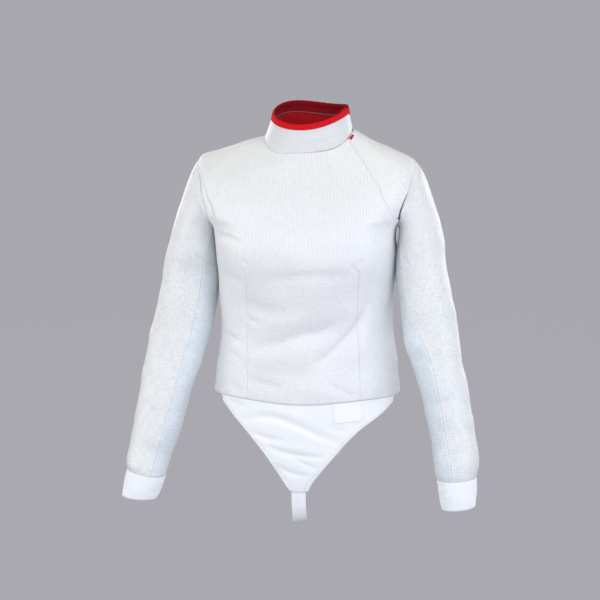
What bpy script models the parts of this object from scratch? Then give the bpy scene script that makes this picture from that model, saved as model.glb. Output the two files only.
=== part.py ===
"""A fencing lamé in its worn, hollow form.

Frame: metres, +Z up. The wearer faces -Y and the wearer's left is +X.
The origin is the middle of the neck seam, level with the shoulders' inner ends.

The trunk is one surface of rings, body_point(turn, row): turn is the angle round the
ring (0 at the front, +90 at the wearer's left side seam, 180 at the back) and row counts
up the table BODY. Each sleeve is a second such surface, sleeve_point, that starts on
the armhole. Every panel is a grid cut from one of these surfaces, thickened by Solidify.
"""

import math
from collections import namedtuple

import bmesh
import bpy
import numpy as np

# ---------------------------------------------------------------- driving sizes
CLOTH = 0.0012              # wall of the lamé and of the bib
LINING = 0.0010             # wall of the collar lining
TAPE = 0.0008               # wall of bindings, tab and label
ELASTIC = 0.0018            # wall of cuffs and strap
GAP = 0.0003                # air between neighbouring pieces
LAYER = 0.0025              # step from one cloth to the next one under it

# Rings of the trunk, bottom to top. The rows below the hem shape the bib only.
# point is how far the middle of the front dips below the rest of the front.
# roll lifts the wearer's left end of a ring and lowers the right end.
Ring = namedtuple("Ring", "name side_z half_width front_depth back_depth "
                          "front_drop back_drop point roll")
BODY = (
    Ring("fork", -0.612, 0.1500, 0.086, 0.090, 0.000, 0.000, 0.000, 0.000),
    Ring("groin", -0.589, 0.1560, 0.093, 0.094, 0.000, 0.000, 0.002, 0.000),
    Ring("thigh", -0.540, 0.1630, 0.103, 0.098, 0.000, 0.000, 0.005, 0.000),
    Ring("hip", -0.493, 0.1650, 0.109, 0.102, 0.000, 0.002, 0.008, 0.000),
    Ring("hem", -0.4465, 0.1625, 0.111, 0.104, -0.001, 0.004, 0.009, 0.000),
    Ring("belly", -0.392, 0.1560, 0.109, 0.099, 0.000, 0.002, 0.005, 0.000),
    Ring("waist", -0.328, 0.1495, 0.108, 0.092, 0.001, 0.000, 0.001, 0.000),
    Ring("rib", -0.262, 0.1510, 0.114, 0.098, 0.002, 0.000, 0.000, 0.000),
    Ring("bust", -0.207, 0.1537, 0.1190, 0.105, 0.004, 0.000, 0.000, 0.000),
    Ring("armpit", -0.160, 0.1548, 0.1168, 0.109, 0.005, 0.000, 0.000, 0.000),
    Ring("chest", -0.129, 0.1800, 0.1138, 0.109, 0.018, 0.000, 0.000, 0.000),
    Ring("armhole", -0.095, 0.1900, 0.1092, 0.107, 0.035, 0.000, 0.000, -0.001),
    Ring("yoke", -0.065, 0.1890, 0.1036, 0.103, 0.048, -0.003, 0.000, -0.002),
    Ring("tip", -0.041, 0.1840, 0.0975, 0.098, 0.056, -0.006, 0.000, -0.003),
    Ring("shoulder", -0.027, 0.1500, 0.0890, 0.091, 0.049, -0.009, 0.000, -0.001),
    Ring("slope", -0.014, 0.1120, 0.080, 0.082, 0.040, -0.012, 0.000, 0.000),
    Ring("neck", 0.000, 0.0760, 0.070, 0.071, 0.031, -0.012, 0.000, 0.006),
)
ROW = {ring.name: number for number, ring in enumerate(BODY)}
SQUARENESS = 2.4            # 2 is an ellipse, more is boxier
NECK_SHIFT = 0.003          # the neck stands a little to the wearer's left
POINT_TURN = 30.0           # half the reach of a ring's dip round the front, in degrees
ARMHOLE_TURN = 30.0         # half the armhole's reach round the ring, in degrees
ARMHOLE_SCOOP = 0.3         # how much more it is cut out at its foot than at its top

# The closing edge of the front: angle round the ring at each row it crosses.
CLOSING = (("armpit", 82.0), ("chest", 54.5), ("armhole", 47.0), ("yoke", 43.0),
           ("tip", 42.3), ("shoulder", 45.5), ("slope", 52.5), ("neck", 60.5))
UNDERLAP = 12.0             # degrees that the left front runs on under the flap
FLAP_LIP = 2.0              # degrees beside the flap's edge where it still lies under,
FLAP_REACH = 20.0           # and degrees over which it comes back up after that

# The bib's reach round the ring to either side of the middle, in degrees.
Reach = namedtuple("Reach", "name right left")
BIB_REACH = (
    Reach("fork", 4.5, 5.5),
    Reach("groin", 9.3, 9.0),
    Reach("thigh", 20.2, 21.4),
    Reach("hip", 35.0, 37.6),
    Reach("hem", 56.5, 72.0),
)
BIB_SWAY = -0.005           # the bib's tip hangs off the middle
BIB_TUCK = 0.12             # rows that the bib runs up behind the front's hem
BIB_TAPE_WIDTH = 0.006      # the folded tape along the bib's edges
BIB_TAPE_FOLD = 0.0024      # how far its fold stands beyond the edge
BIB_TAPE_EASE = 0.0005      # more air under it, because tape and bib bend differently
BIB_ROWS = (0.0, 0.12, 0.6, 1.1, 1.6, 2.1, 2.6, 3.05, 3.4, 3.65, 3.86)   # its trunk rows

# Sleeve rings from the armhole to the wrist: where the inner and outer edge lie seen from
# the front (x is the distance from the middle), the middle's depth, half the depth, and
# the angle of the seam between upper and under sleeve (0 outside, 90 front, 180 inside).
SleeveRing = namedtuple("SleeveRing", "inner_x inner_z outer_x outer_z middle_y half_depth seam")
SLEEVE = {
    "r": (
        SleeveRing(0.1550, -0.159, 0.1840, -0.040, 0.000, 0.050, 157.5),
        SleeveRing(0.1590, -0.162, 0.1910, -0.050, -0.001, 0.054, 152),
        SleeveRing(0.1600, -0.172, 0.1996, -0.063, -0.001, 0.055, 146),
        SleeveRing(0.1590, -0.190, 0.2161, -0.095, 0.002, 0.055, 137),
        SleeveRing(0.1568, -0.218, 0.2371, -0.158, 0.003, 0.052, 125),
        SleeveRing(0.1558, -0.250, 0.2515, -0.215, 0.003, 0.049, 122),
        SleeveRing(0.1600, -0.287, 0.2595, -0.266, -0.004, 0.047, 121),
        SleeveRing(0.1640, -0.321, 0.2672, -0.304, -0.014, 0.046, 119.5),
        SleeveRing(0.1710, -0.356, 0.2728, -0.339, -0.026, 0.045, 119.5),
        SleeveRing(0.1820, -0.392, 0.2780, -0.375, -0.038, 0.044, 119),
        SleeveRing(0.1967, -0.448, 0.2846, -0.432, -0.055, 0.042, 118),
        SleeveRing(0.2125, -0.505, 0.2927, -0.489, -0.071, 0.039, 117),
        SleeveRing(0.2249, -0.555, 0.2985, -0.540, -0.084, 0.036, 116),
        SleeveRing(0.2310, -0.577, 0.3010, -0.563, -0.092, 0.034, 116),
        SleeveRing(0.2365, -0.588, 0.3005, -0.575, -0.094, 0.030, 116),
    ),
    "l": (
        SleeveRing(0.1550, -0.161, 0.1840, -0.045, 0.000, 0.050, 157.5),
        SleeveRing(0.1590, -0.164, 0.1910, -0.054, -0.001, 0.054, 152),
        SleeveRing(0.1600, -0.174, 0.1995, -0.066, -0.004, 0.055, 146),
        SleeveRing(0.1580, -0.192, 0.2138, -0.098, -0.008, 0.055, 139),
        SleeveRing(0.1560, -0.220, 0.2320, -0.160, -0.016, 0.052, 131),
        SleeveRing(0.1585, -0.252, 0.2425, -0.217, -0.026, 0.049, 131.5),
        SleeveRing(0.1655, -0.287, 0.2515, -0.266, -0.037, 0.047, 131),
        SleeveRing(0.1696, -0.321, 0.2605, -0.304, -0.045, 0.045, 120),
        SleeveRing(0.1755, -0.352, 0.2660, -0.339, -0.053, 0.044, 108),
        SleeveRing(0.1860, -0.385, 0.2720, -0.373, -0.059, 0.042, 101),
        SleeveRing(0.2042, -0.440, 0.2818, -0.430, -0.068, 0.040, 102),
        SleeveRing(0.2170, -0.495, 0.2925, -0.486, -0.078, 0.038, 106),
        SleeveRing(0.2275, -0.545, 0.3010, -0.537, -0.088, 0.036, 105),
        SleeveRing(0.2310, -0.567, 0.3020, -0.560, -0.092, 0.033, 104),
        SleeveRing(0.2340, -0.579, 0.2980, -0.573, -0.094, 0.029, 104),
    ),
}
SEAM_PULL = 3.2             # sleeve rings over which the armhole's own shape fades out
ARMPIT_LIFT = 0.0020        # the sleeve starts this far over the trunk's edge at the armpit
# More air at a sleeve panel's upper end (seat) and along its two side seams (slack).
Seam = namedtuple("Seam", "seat slack")
SEAM = {"sleeve_upper": Seam(0.0011, 0.0), "gusset": Seam(0.0011, 0.0004),
        "sleeve_under": Seam(0.0003, 0.0002)}
GUSSET_END = 4.4            # sleeve ring where the gusset meets the under sleeve
SIDE = {"r": -1.0, "l": 1.0}

# A cuff runs from the sleeve's last ring to its mouth.
CUFF_SEAT = 0.0002          # more air at its upper end
CUFF_MOUTH = {
    "r": SleeveRing(0.2510, -0.6260, 0.3105, -0.6210, -0.099, 0.0275, 0),
    "l": SleeveRing(0.2420, -0.6280, 0.2975, -0.6215, -0.099, 0.0270, 0),
}

# The collar's rim: a ring whose height follows a few sine terms.
RIM_HALF_WIDTH = 0.0675
RIM_FRONT = 0.062
RIM_BACK = 0.064
RIM_SHIFT = 0.0048
RIM_HEIGHT = 0.0382         # mean height over the origin
RIM_TILT = -0.0189          # cosine term: low in front, high behind
RIM_ROLL = 0.0078           # sine term: high at the wearer's left
RIM_TWIST = 0.0071          # second sine term: the overlapping end stands up
COLLAR_FOOT = 0.0014        # height of the collar's lower edge over the neck seam
COLLAR_START = 78.0         # turn of the overlapping end, in degrees
COLLAR_SWEEP = 374.0        # degrees from that end round the neck to the end under it
COLLAR_SINK = 0.0064        # how far inside the end under it lies
COLLAR_TUCK = (55.0, 17.0)  # degrees before that end where it starts and ends sinking in
BINDING_OUTER = 0.0078      # height of the binding on the outside
BINDING_INNER = 0.0068      # and on the inside
BINDING_CROWN = 0.0026      # its fold over the rim
TAB_REACH = 7.0             # the binding's folded end: degrees past the collar's end,
TAB_GAP = 0.4               # its gap to the binding, in degrees,
TAB_CROWN = 0.0062          # and its fold over the rim
TAB_OUTER = 0.0100
TAB_INNER = 0.0080

# Crotch strap: its middle line, and how far it turns about that line.
Station = namedtuple("Station", "x y z turn")
STRAP_WIDTH = 0.025
STRAP = (
    Station(-0.0050, -0.0745, -0.6420, 0),
    Station(-0.0058, -0.0590, -0.6640, -6),
    Station(-0.0092, -0.0320, -0.6750, -14),
    Station(-0.0150, 0.0050, -0.6715, -14),
    Station(-0.0210, 0.0420, -0.6500, -10),
    Station(-0.0220, 0.0750, -0.6060, -4),
    Station(-0.0130, 0.0960, -0.5400, 0),
)
STRAP_FRONT = 0.45          # trunk row where the strap starts behind the bib
STRAP_LEAD = 0.35           # rows below the back's hem from which it follows the back,
STRAP_BACK = 0.22           # and rows that it runs up behind that hem
STRAP_STEP = 0.05           # part of a station over which its direction is measured
STRAP_AIR = 0.0008          # extra air, because the flat strap lies on a rounded back

# Largest folds of the trunk: place of the middle, half length, half width, slant in
# degrees and depth. A negative depth is a ridge.
Fold = namedtuple("Fold", "x z half_length half_width slant depth")
FRONT_FOLDS = (
    Fold(-0.010, -0.236, 0.090, 0.013, 0, 0.0035),
    Fold(-0.070, -0.308, 0.045, 0.012, -8, 0.0030),
    Fold(-0.005, -0.348, 0.075, 0.014, 12, 0.0040),
    Fold(0.050, -0.368, 0.060, 0.013, 42, 0.0035),
    Fold(-0.075, -0.090, 0.060, 0.016, 14, 0.0025),
)
BACK_FOLDS = (
    Fold(0.020, -0.300, 0.080, 0.015, -6, 0.0040),
    Fold(-0.040, -0.352, 0.070, 0.014, 10, 0.0035),
    Fold(0.055, -0.120, 0.050, 0.018, 30, 0.0025),
)
BUST_OUT = 0.085            # the bust's two soft crests: distance from the middle,
BUST_HEIGHT = -0.205        # height,
BUST_SPREAD = 0.060         # spread
BUST_RISE = 0.007           # and rise over the ring

LABEL_SIDES = (20.0, 37.6)  # turn of the label's two sides, in degrees
LABEL_ENDS = (3.25, 3.95)   # trunk rows of its lower and upper edge
ZIP_SIDES = (2.0, 6.0)      # the zip tape's end: degrees beside the closing edge
ZIP_ENDS = (15.68, 15.95)   # and its trunk rows

# ---------------------------------------------------------------- grids (columns, rows)
GRID = {
    "sleeve_upper": (14, 13), "sleeve_under": (6, 9), "gusset": (4, 4),
    "cuff": (16, 2), "collar": (34, 3), "collar_lining": (34, 2), "collar_binding": (34, 4),
    "label": (3, 3), "crotch_strap": (2, 22),
    "collar_tab": (2, 4), "zip_tape_end": (1, 3),
}
TRUNK_COLUMNS = {"front_panel": 20, "left_front_panel": 5, "back_panel": 18}
BIB_COLUMNS = 10
ROWS_TO_ARMPIT = 8
ROWS_TO_NECK = 4
SLEEVE_CROWDING = 0.6       # how much sleeve columns are drawn toward the seams,
SLEEVE_EVEN = 5             # from this ring down
# Angles round the armhole, from the armpit up, where trunk and sleeve share their points.
ARMHOLE_ANGLES = (180.0, 168.75, 157.5, 135.0, 112.5, 90.0, 67.5, 45.0, 22.5, 0.0)

# ---------------------------------------------------------------- colours
LAME = ("lame", (0.80, 0.82, 0.83), 0.45, 0.35)
COTTON = ("white_cotton", (0.92, 0.93, 0.95), 0.85, 0.0)
WHITE_ELASTIC = ("white_elastic", (0.90, 0.91, 0.94), 0.80, 0.0)
RED_TAPE = ("red_tape", (0.68, 0.01, 0.02), 0.60, 0.0)
RED_LINING = ("red_lining", (0.35, 0.005, 0.015), 0.75, 0.0)
LABEL_SATIN = ("label_satin", (0.95, 0.95, 0.96), 0.40, 0.0)


# ---------------------------------------------------------------- small maths
def between(table, place):
    """Values of a table at a place between its rows, on a smooth curve through them."""
    rows = np.array([[value for value in row if not isinstance(value, str)] for row in table])
    first = int(min(max(math.floor(place), 0), len(rows) - 2))
    step = place - first
    start, end = rows[first], rows[first + 1]
    before = rows[first - 1] if first > 0 else 2 * start - end
    after = rows[first + 2] if first + 2 < len(rows) else 2 * end - start
    into, out = (end - before) / 2, (after - start) / 2
    return ((2 * step**3 - 3 * step**2 + 1) * start + (step**3 - 2 * step**2 + step) * into
            + (3 * step**2 - 2 * step**3) * end + (step**3 - step**2) * out)


def fade(value):
    """Smooth step from 0 to 1."""
    value = min(max(value, 0.0), 1.0)
    return value * value * (3 - 2 * value)


def close_up(value, strength=0.7):
    """Even steps from 0 to 1 drawn closer together at both ends."""
    return value - strength * math.sin(2 * math.pi * value) / (2 * math.pi)


def ring_outline(turn, squareness):
    """Sideways and forward reach of a unit ring, in plan, at an angle from the front."""
    side, front = math.sin(turn), math.cos(turn)
    size = (abs(side)**squareness + abs(front)**squareness)**(-1 / squareness)
    return side * size, front * size


# ---------------------------------------------------------------- the trunk
def fold_depth(folds, x, z):
    """How far the folds sink the cloth at a place seen from the front or the back."""
    depth = 0.0
    for fold in folds:
        slant = math.radians(fold.slant)
        along = (x - fold.x) * math.cos(slant) + (z - fold.z) * math.sin(slant)
        across = (z - fold.z) * math.cos(slant) - (x - fold.x) * math.sin(slant)
        depth += fold.depth * math.exp(-(along / fold.half_length)**4 - (across / fold.half_width)**2)
    return depth


def body_point(turn_degrees, row, out=0.0):
    """A point of the trunk's surface, moved out horizontally by a distance."""
    (side_z, half_width, front_depth, back_depth,
     front_drop, back_drop, point, roll) = between(BODY, row)
    turn = math.radians(turn_degrees)
    side, front = ring_outline(turn, SQUARENESS)
    depth, drop = (front_depth, front_drop) if front > 0 else (back_depth, back_drop)
    x, y = half_width * side, -depth * front
    z = side_z - drop * (1 - math.sin(turn)**4) + roll * math.sin(turn)
    if front > 0:
        z -= point * math.exp(-(math.asin(math.sin(turn)) / math.radians(POINT_TURN))**2)
        for bust in (-BUST_OUT, BUST_OUT):
            far = math.hypot(x - bust, z - BUST_HEIGHT) / BUST_SPREAD
            out += BUST_RISE * math.exp(-far * far)
        out -= fold_depth(FRONT_FOLDS, x, z)
    else:
        out -= fold_depth(BACK_FOLDS, x, z)
    facing = np.array([side / half_width, -front / depth])
    facing /= np.linalg.norm(facing)
    neck = fade((row - ROW["tip"]) / (ROW["neck"] - ROW["tip"]))
    tip = fade((ROW["hem"] - row) / ROW["hem"])
    return np.array([x + facing[0] * out + NECK_SHIFT * neck + BIB_SWAY * tip, y + facing[1] * out, z])


def body_facing(turn, row):
    """Unit vector out of the trunk's surface."""
    degree, row_part = 1.0, 0.02
    along = body_point(turn + degree, row) - body_point(turn - degree, row)
    up = body_point(turn, row + row_part) - body_point(turn, row - row_part)
    facing = np.cross(along, up)
    return facing / np.linalg.norm(facing)


def armhole_turn(row):
    """Angle from the side seam to the armhole's edge, zero outside the armhole's rows."""
    rise = 2 * (row - ROW["armpit"]) / (ROW["tip"] - ROW["armpit"]) - 1
    return ARMHOLE_TURN * math.sqrt(max(0.0, 1 - rise * rise)) * (1 - ARMHOLE_SCOOP * rise)


def closing_turn(row):
    """Angle of the front's closing edge, at rows from the armpit to the neck."""
    return float(between(CLOSING, row - ROW["armpit"])[0])


def armhole_row(angle_degrees):
    """Trunk row of the armhole's edge at an angle round it: 0 at the top, 180 at the armpit."""
    rise = math.cos(math.radians(angle_degrees))
    return ROW["armpit"] + (ROW["tip"] - ROW["armpit"]) * (1 + rise) / 2


def trunk_rows():
    """Rows of every trunk panel, so that neighbours share their seam points."""
    below = np.linspace(ROW["hem"], ROW["armpit"], ROWS_TO_ARMPIT, endpoint=False)
    above = np.linspace(ROW["tip"], ROW["neck"], ROWS_TO_NECK + 1)[1:]
    return [*below, *(armhole_row(angle) for angle in ARMHOLE_ANGLES), *above]


def front_edge(row):
    """Angle of the front's left edge: side seam, armhole or closing edge."""
    edge = 90 - armhole_turn(row)
    return min(edge, closing_turn(row)) if row > ROW["armpit"] else edge


def front_panel():
    """The front, from the right side seam to the closing edge, or the left side seam below."""
    columns = TRUNK_COLUMNS["front_panel"]
    points = []
    for row in trunk_rows():
        right, left = -90 + armhole_turn(row), front_edge(row)
        points.append([body_point(right + (left - right) * close_up(c / columns), row)
                       for c in range(columns + 1)])
    add_sheet("front_panel", points, LAME)


def left_front_panel():
    """The piece between the closing edge, the left armhole and the left shoulder seam."""
    columns = TRUNK_COLUMNS["left_front_panel"]
    points = []
    for row in trunk_rows():
        if row <= ROW["armpit"] + GAP:
            continue
        edge = front_edge(row)
        inner, outer = edge - UNDERLAP, 90 - armhole_turn(row)
        line = []
        for c in range(columns + 1):
            turn = inner + (outer - inner) * c / columns
            under = 1 - fade((turn - edge - FLAP_LIP) / FLAP_REACH)
            line.append(body_point(turn, row) - body_facing(turn, row) * LAYER * under)
        points.append(line)
    add_sheet("left_front_panel", points, LAME)


def back_panel():
    """The back, from side seam to side seam and up to the shoulder seams and neck."""
    columns = TRUNK_COLUMNS["back_panel"]
    points = []
    for row in trunk_rows():
        left, right = 90 + armhole_turn(row), 270 - armhole_turn(row)
        points.append([body_point(left + (right - left) * close_up(c / columns), row)
                       for c in range(columns + 1)])
    add_sheet("back_panel", points, LAME)


# ---------------------------------------------------------------- sleeves
def ring_point(rings, side, place, angle_degrees):
    """A point of a sleeve or cuff ring: angle 0 outside, 90 in front, 180 inside."""
    inner_x, inner_z, outer_x, outer_z, middle_y, half_depth = between(rings, place)[:6]
    angle = math.radians(angle_degrees)
    outward, forward = math.cos(angle), math.sin(angle)
    x = (inner_x + outer_x) / 2 + outward * (outer_x - inner_x) / 2
    z = (inner_z + outer_z) / 2 + outward * (outer_z - inner_z) / 2
    return np.array([side * x, middle_y - half_depth * forward, z])


def armhole_point(side, angle_degrees):
    """A point of the armhole's edge, at the same angles as the sleeve's rings."""
    row = armhole_row(angle_degrees)
    reach = math.copysign(armhole_turn(row), math.sin(math.radians(angle_degrees)))
    return body_point(side * (90 - reach), row)


def sleeve_point(hand, place, angle):
    """A point of a sleeve's surface: the armhole's edge, fading into the sleeve's rings."""
    rings, side = SLEEVE[hand], SIDE[hand]
    point = ring_point(rings, side, place, angle)
    keep = (1 - fade(place / SEAM_PULL))
    if keep > 0:
        lift = np.array([0.0, 0.0, ARMPIT_LIFT]) * ((1 - math.cos(math.radians(angle))) / 2)**2
        point = point + keep * (armhole_point(side, angle) + lift - ring_point(rings, side, 0, angle))
    return point


def seam_angle(hand, place):
    """Angle of the sleeve's front seam at a ring; the back seam mirrors it."""
    return float(between(SLEEVE[hand], place)[6])


def add_sleeve_panel(node, hand, first, last, upper):
    """A sleeve panel between two rings, on the outer side of the seams or the inner."""
    columns, rows = GRID[node]
    points = []
    for r in range(rows + 1):
        place = first + (last - first) * r / rows
        seam = seam_angle(hand, place)
        start, end = (-seam, seam) if upper else (seam, 360 - seam)
        crowding = SLEEVE_CROWDING * fade(place / SLEEVE_EVEN)
        points.append([sleeve_point(hand, place, start + (end - start) * close_up(c / columns, crowding))
                       for c in range(columns + 1)])
    add_sheet(f"{node}_{hand}", points, LAME, seat=SEAM[node].seat, slack=SEAM[node].slack)


def sleeve(hand):
    """Upper sleeve, under sleeve, gusset and cuff of one arm."""
    last = len(SLEEVE[hand]) - 1
    add_sleeve_panel("sleeve_upper", hand, 0, last, upper=True)
    add_sleeve_panel("gusset", hand, 0, GUSSET_END, upper=False)
    add_sleeve_panel("sleeve_under", hand, GUSSET_END, last, upper=False)
    columns, rows = GRID["cuff"]
    rings = (SLEEVE[hand][-1], CUFF_MOUTH[hand])
    points = [[ring_point(rings, SIDE[hand], r / rows, 360 * c / columns) for c in range(columns)]
              for r in range(rows + 1)]
    add_sheet(f"cuff_{hand}", points, WHITE_ELASTIC, ELASTIC, closed=True, seat=CUFF_SEAT)


# ---------------------------------------------------------------- collar
def rim_point(turn_degrees):
    """A point of the collar's rim."""
    turn = math.radians(turn_degrees)
    depth = RIM_FRONT if math.cos(turn) > 0 else RIM_BACK
    height = (RIM_HEIGHT + RIM_TILT * math.cos(turn) + RIM_ROLL * math.sin(turn)
              + RIM_TWIST * math.sin(2 * turn))
    return np.array([RIM_SHIFT + RIM_HALF_WIDTH * math.sin(turn), -depth * math.cos(turn), height])


def collar_point(along, height, out=0.0):
    """A point of the collar: along it from the overlapping end, up it, and moved out.

    height is a fraction of the collar between foot and rim; the end that lies under the
    other is sunk inwards.
    """
    turn = COLLAR_START - COLLAR_SWEEP * along
    foot, rim = body_point(turn, ROW["neck"]), rim_point(turn)
    rise = (rim - foot) / np.linalg.norm(rim - foot)
    point = foot + rise * COLLAR_FOOT
    point = point + (rim - point) * height
    radial = np.array([math.sin(math.radians(turn)), -math.cos(math.radians(turn)), 0.0])
    facing = radial - rise * radial.dot(rise)
    facing /= np.linalg.norm(facing)
    start, end = COLLAR_TUCK
    sunk = COLLAR_SINK * fade((start - COLLAR_SWEEP * (1 - along)) / (start - end))
    return point + facing * (out - sunk)


def collar_height(along):
    """Length up the collar from foot to rim."""
    return np.linalg.norm(collar_point(along, 1) - collar_point(along, 0))


def collar():
    """The collar strip, its lining, the binding over both and the binding's folded end."""
    columns, rows = GRID["collar"]
    points = [[collar_point(c / columns, r / rows) for c in range(columns + 1)] for r in range(rows + 1)]
    add_sheet("collar", points, LAME)

    lining_out = -(CLOTH / 2 + GAP + LINING / 2)
    columns, rows = GRID["collar_lining"]
    points = [[collar_point(c / columns, r / rows, lining_out) for c in range(columns + 1)]
              for r in range(rows + 1)]
    add_sheet("collar_lining", points, RED_LINING, LINING)

    over = CLOTH / 2 + GAP + TAPE / 2
    behind = lining_out - LINING / 2 - GAP - TAPE / 2
    add_rim_tape("collar_binding", 0, 1, over, behind, (BINDING_OUTER, BINDING_CROWN, BINDING_INNER))
    add_rim_tape("collar_tab", -TAB_REACH / COLLAR_SWEEP, -TAB_GAP / COLLAR_SWEEP, over, behind,
                 (TAB_OUTER, TAB_CROWN, TAB_INNER))


def add_rim_tape(name, start, end, over, behind, legs):
    """A tape folded over the collar's rim, between two places along it."""
    outer, crown, inner = legs
    profile = ((over, -outer), (over, 0.0), ((over + behind) / 2, crown), (behind, 0.0), (behind, -inner))
    columns = GRID[name][0]
    points = []
    for out, up in profile:
        places = np.linspace(start, end, columns + 1)
        points.append([collar_point(place, 1 + up / collar_height(place), out) for place in places])
    add_sheet(name, points, RED_TAPE, TAPE)


def zip_tape_end():
    """The red end of the zip's tape, beside the top of the closing edge."""
    columns, rows = GRID["zip_tape_end"]
    lift = CLOTH / 2 + GAP + TAPE / 2 - LAYER
    points = []
    for row in np.linspace(*ZIP_ENDS, rows + 1):
        turns = closing_turn(row) + np.linspace(*ZIP_SIDES, columns + 1)
        points.append([body_point(turn, row) + body_facing(turn, row) * lift for turn in turns])
    add_sheet("zip_tape_end", points, RED_TAPE, TAPE)


# ---------------------------------------------------------------- bib and strap
def bib_point(across, row, out=0.0):
    """A point of the bib: across it from -1 (right edge) to 1 (left), one layer in."""
    right, left = between(BIB_REACH, min(row, len(BIB_REACH) - 1))
    turn = across * (left if across > 0 else right)
    return body_point(turn, row) + body_facing(turn, row) * (out - LAYER)


def bib():
    """The bib, the tape round its two edges and the label."""
    columns = BIB_COLUMNS
    points = [[bib_point(2 * close_up(c / columns) - 1, row) for c in range(columns + 1)]
              for row in (*BIB_ROWS, ROW["hem"] + BIB_TUCK)]
    add_sheet("bib", points, COTTON)

    lift = CLOTH / 2 + GAP + TAPE / 2
    wrap = lift + BIB_TAPE_EASE
    beside = 1 - 2 * close_up(1 / columns)
    profile = ((wrap, -BIB_TAPE_WIDTH), (wrap, 0.0), (0.0, BIB_TAPE_FOLD), (-wrap, 0.0),
               (-wrap, -BIB_TAPE_WIDTH))
    for hand, side in SIDE.items():
        points = []
        for out, beyond in profile:
            line = []
            for row in BIB_ROWS[1:]:
                edge = bib_point(side, row, out)
                step = edge - bib_point(side * beside, row, out)
                line.append(edge + step / np.linalg.norm(step) * beyond)
            points.append(line)
        add_sheet(f"bib_binding_{hand}", points, COTTON, TAPE)

    columns, rows = GRID["label"]
    points = [[body_point(turn, row) + body_facing(turn, row) * (lift - LAYER)
               for turn in np.linspace(*LABEL_SIDES, columns + 1)]
              for row in np.linspace(*LABEL_ENDS, rows + 1)]
    add_sheet("label", points, LABEL_SATIN, TAPE)


def crotch_strap():
    """The elastic strap from behind the bib's tip, under, and up behind the back's hem."""
    columns, rows = GRID["crotch_strap"]
    under = CLOTH / 2 + GAP + ELASTIC / 2
    behind_tape = under + TAPE + GAP + BIB_TAPE_EASE
    front = [Station(*bib_point(0, row, -behind_tape), 0) for row in (STRAP_FRONT, 0.0)]
    back = [Station(*body_point(180, row, -under - STRAP_AIR), 0)
            for row in (ROW["hem"] - STRAP_LEAD, ROW["hem"] + STRAP_BACK)]
    route = front + list(STRAP) + back
    last = len(route) - 1
    points = []
    for place in np.linspace(0, last, rows + 1):
        x, y, z, turn = between(route, place)
        ahead = (between(route, min(place + STRAP_STEP, last))
                 - between(route, max(place - STRAP_STEP, 0)))
        along = ahead[:3] / np.linalg.norm(ahead[:3])
        across = np.array([1.0, 0.0, 0.0]) - along * along[0]
        across /= np.linalg.norm(across)
        across = (across * math.cos(math.radians(turn))
                  + np.cross(along, across) * math.sin(math.radians(turn)))
        points.append([np.array([x, y, z]) + across * STRAP_WIDTH * (c / columns - 0.5)
                       for c in range(columns + 1)])
    add_sheet("crotch_strap", points, WHITE_ELASTIC, ELASTIC)


# ---------------------------------------------------------------- objects
def material(name, colour, roughness, metallic):
    """A plain Principled material, made once."""
    if name in bpy.data.materials:
        return bpy.data.materials[name]
    new = bpy.data.materials.new(name)
    new.use_nodes = True
    shader = new.node_tree.nodes["Principled BSDF"]
    shader.inputs["Base Color"].default_value = (*colour, 1.0)
    shader.inputs["Roughness"].default_value = roughness
    shader.inputs["Metallic"].default_value = metallic
    return new


def draw_in(points, closed, seat, slack):
    """Move a grid's edges inwards by half the gap between pieces.

    The first row moves by seat more, and the two sides by slack more.
    """
    def toward(edge, inside, more=0.0):
        step = inside - edge
        return edge + step / np.linalg.norm(step, axis=-1, keepdims=True) * (GAP / 2 + more)

    points[0], points[-1] = toward(points[0], points[1], seat), toward(points[-1], points[-2])
    if not closed:
        points[:, 0] = toward(points[:, 0], points[:, 1], slack)
        points[:, -1] = toward(points[:, -1], points[:, -2], slack)
    return points


def add_sheet(name, points, finish, wall=CLOTH, closed=False, seat=0.0, slack=0.0):
    """A cloth piece: a grid laid through the points, thickened evenly to both sides."""
    points = draw_in(np.array(points, dtype=float), closed, seat, slack)
    rows, columns = points.shape[:2]
    mesh = bpy.data.meshes.new(name)
    grid = bmesh.new()
    across = columns if closed else columns - 1
    bmesh.ops.create_grid(grid, x_segments=across, y_segments=rows - 1, size=1)
    for number, vert in enumerate(grid.verts):
        row, column = divmod(number, across + 1)
        vert.co = points[row, column % columns]
    if closed:
        bmesh.ops.remove_doubles(grid, verts=grid.verts, dist=GAP / 10)
    grid.to_mesh(mesh)
    grid.free()
    piece = bpy.data.objects.new(name, mesh)
    mesh.materials.append(material(*finish))
    mesh.shade_smooth()
    thicken = piece.modifiers.new("wall", "SOLIDIFY")
    thicken.thickness = wall
    thicken.offset = 0.0
    bpy.data.collections["fencing_lame"].objects.link(piece)
    return piece


def main():
    for thing in list(bpy.data.objects):
        bpy.data.objects.remove(thing, do_unlink=True)
    group = bpy.data.collections.new("fencing_lame")
    bpy.context.scene.collection.children.link(group)
    front_panel()
    left_front_panel()
    back_panel()
    for hand in SLEEVE:
        sleeve(hand)
    collar()
    zip_tape_end()
    bib()
    crotch_strap()


main()
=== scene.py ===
"""A fencing lamé dressed in its cloth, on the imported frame.

Blender 4.5. Run as a script: each operator makes one piece or a group of like pieces,
from the sizes and colours in the scene's settings.

Frame: metres, +Z up. The wearer faces -Y and the wearer's left is +X. The origin is the
middle of the neck seam. The trunk is one surface of rings, body_point(turn, row): turn is
the angle round the ring (0 in front, +90 at the wearer's left side seam, 180 behind) and
row counts up the table BODY. Each sleeve is a second such surface, sleeve_point, that
starts on the armhole. A panel is a grid on one of these surfaces, with its creases sunk
into it, thickened evenly to both sides.
"""

import math
from collections import namedtuple

import bmesh
import bpy
import numpy as np
from bpy.props import FloatProperty, FloatVectorProperty, PointerProperty
from mathutils import Matrix, Vector


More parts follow.
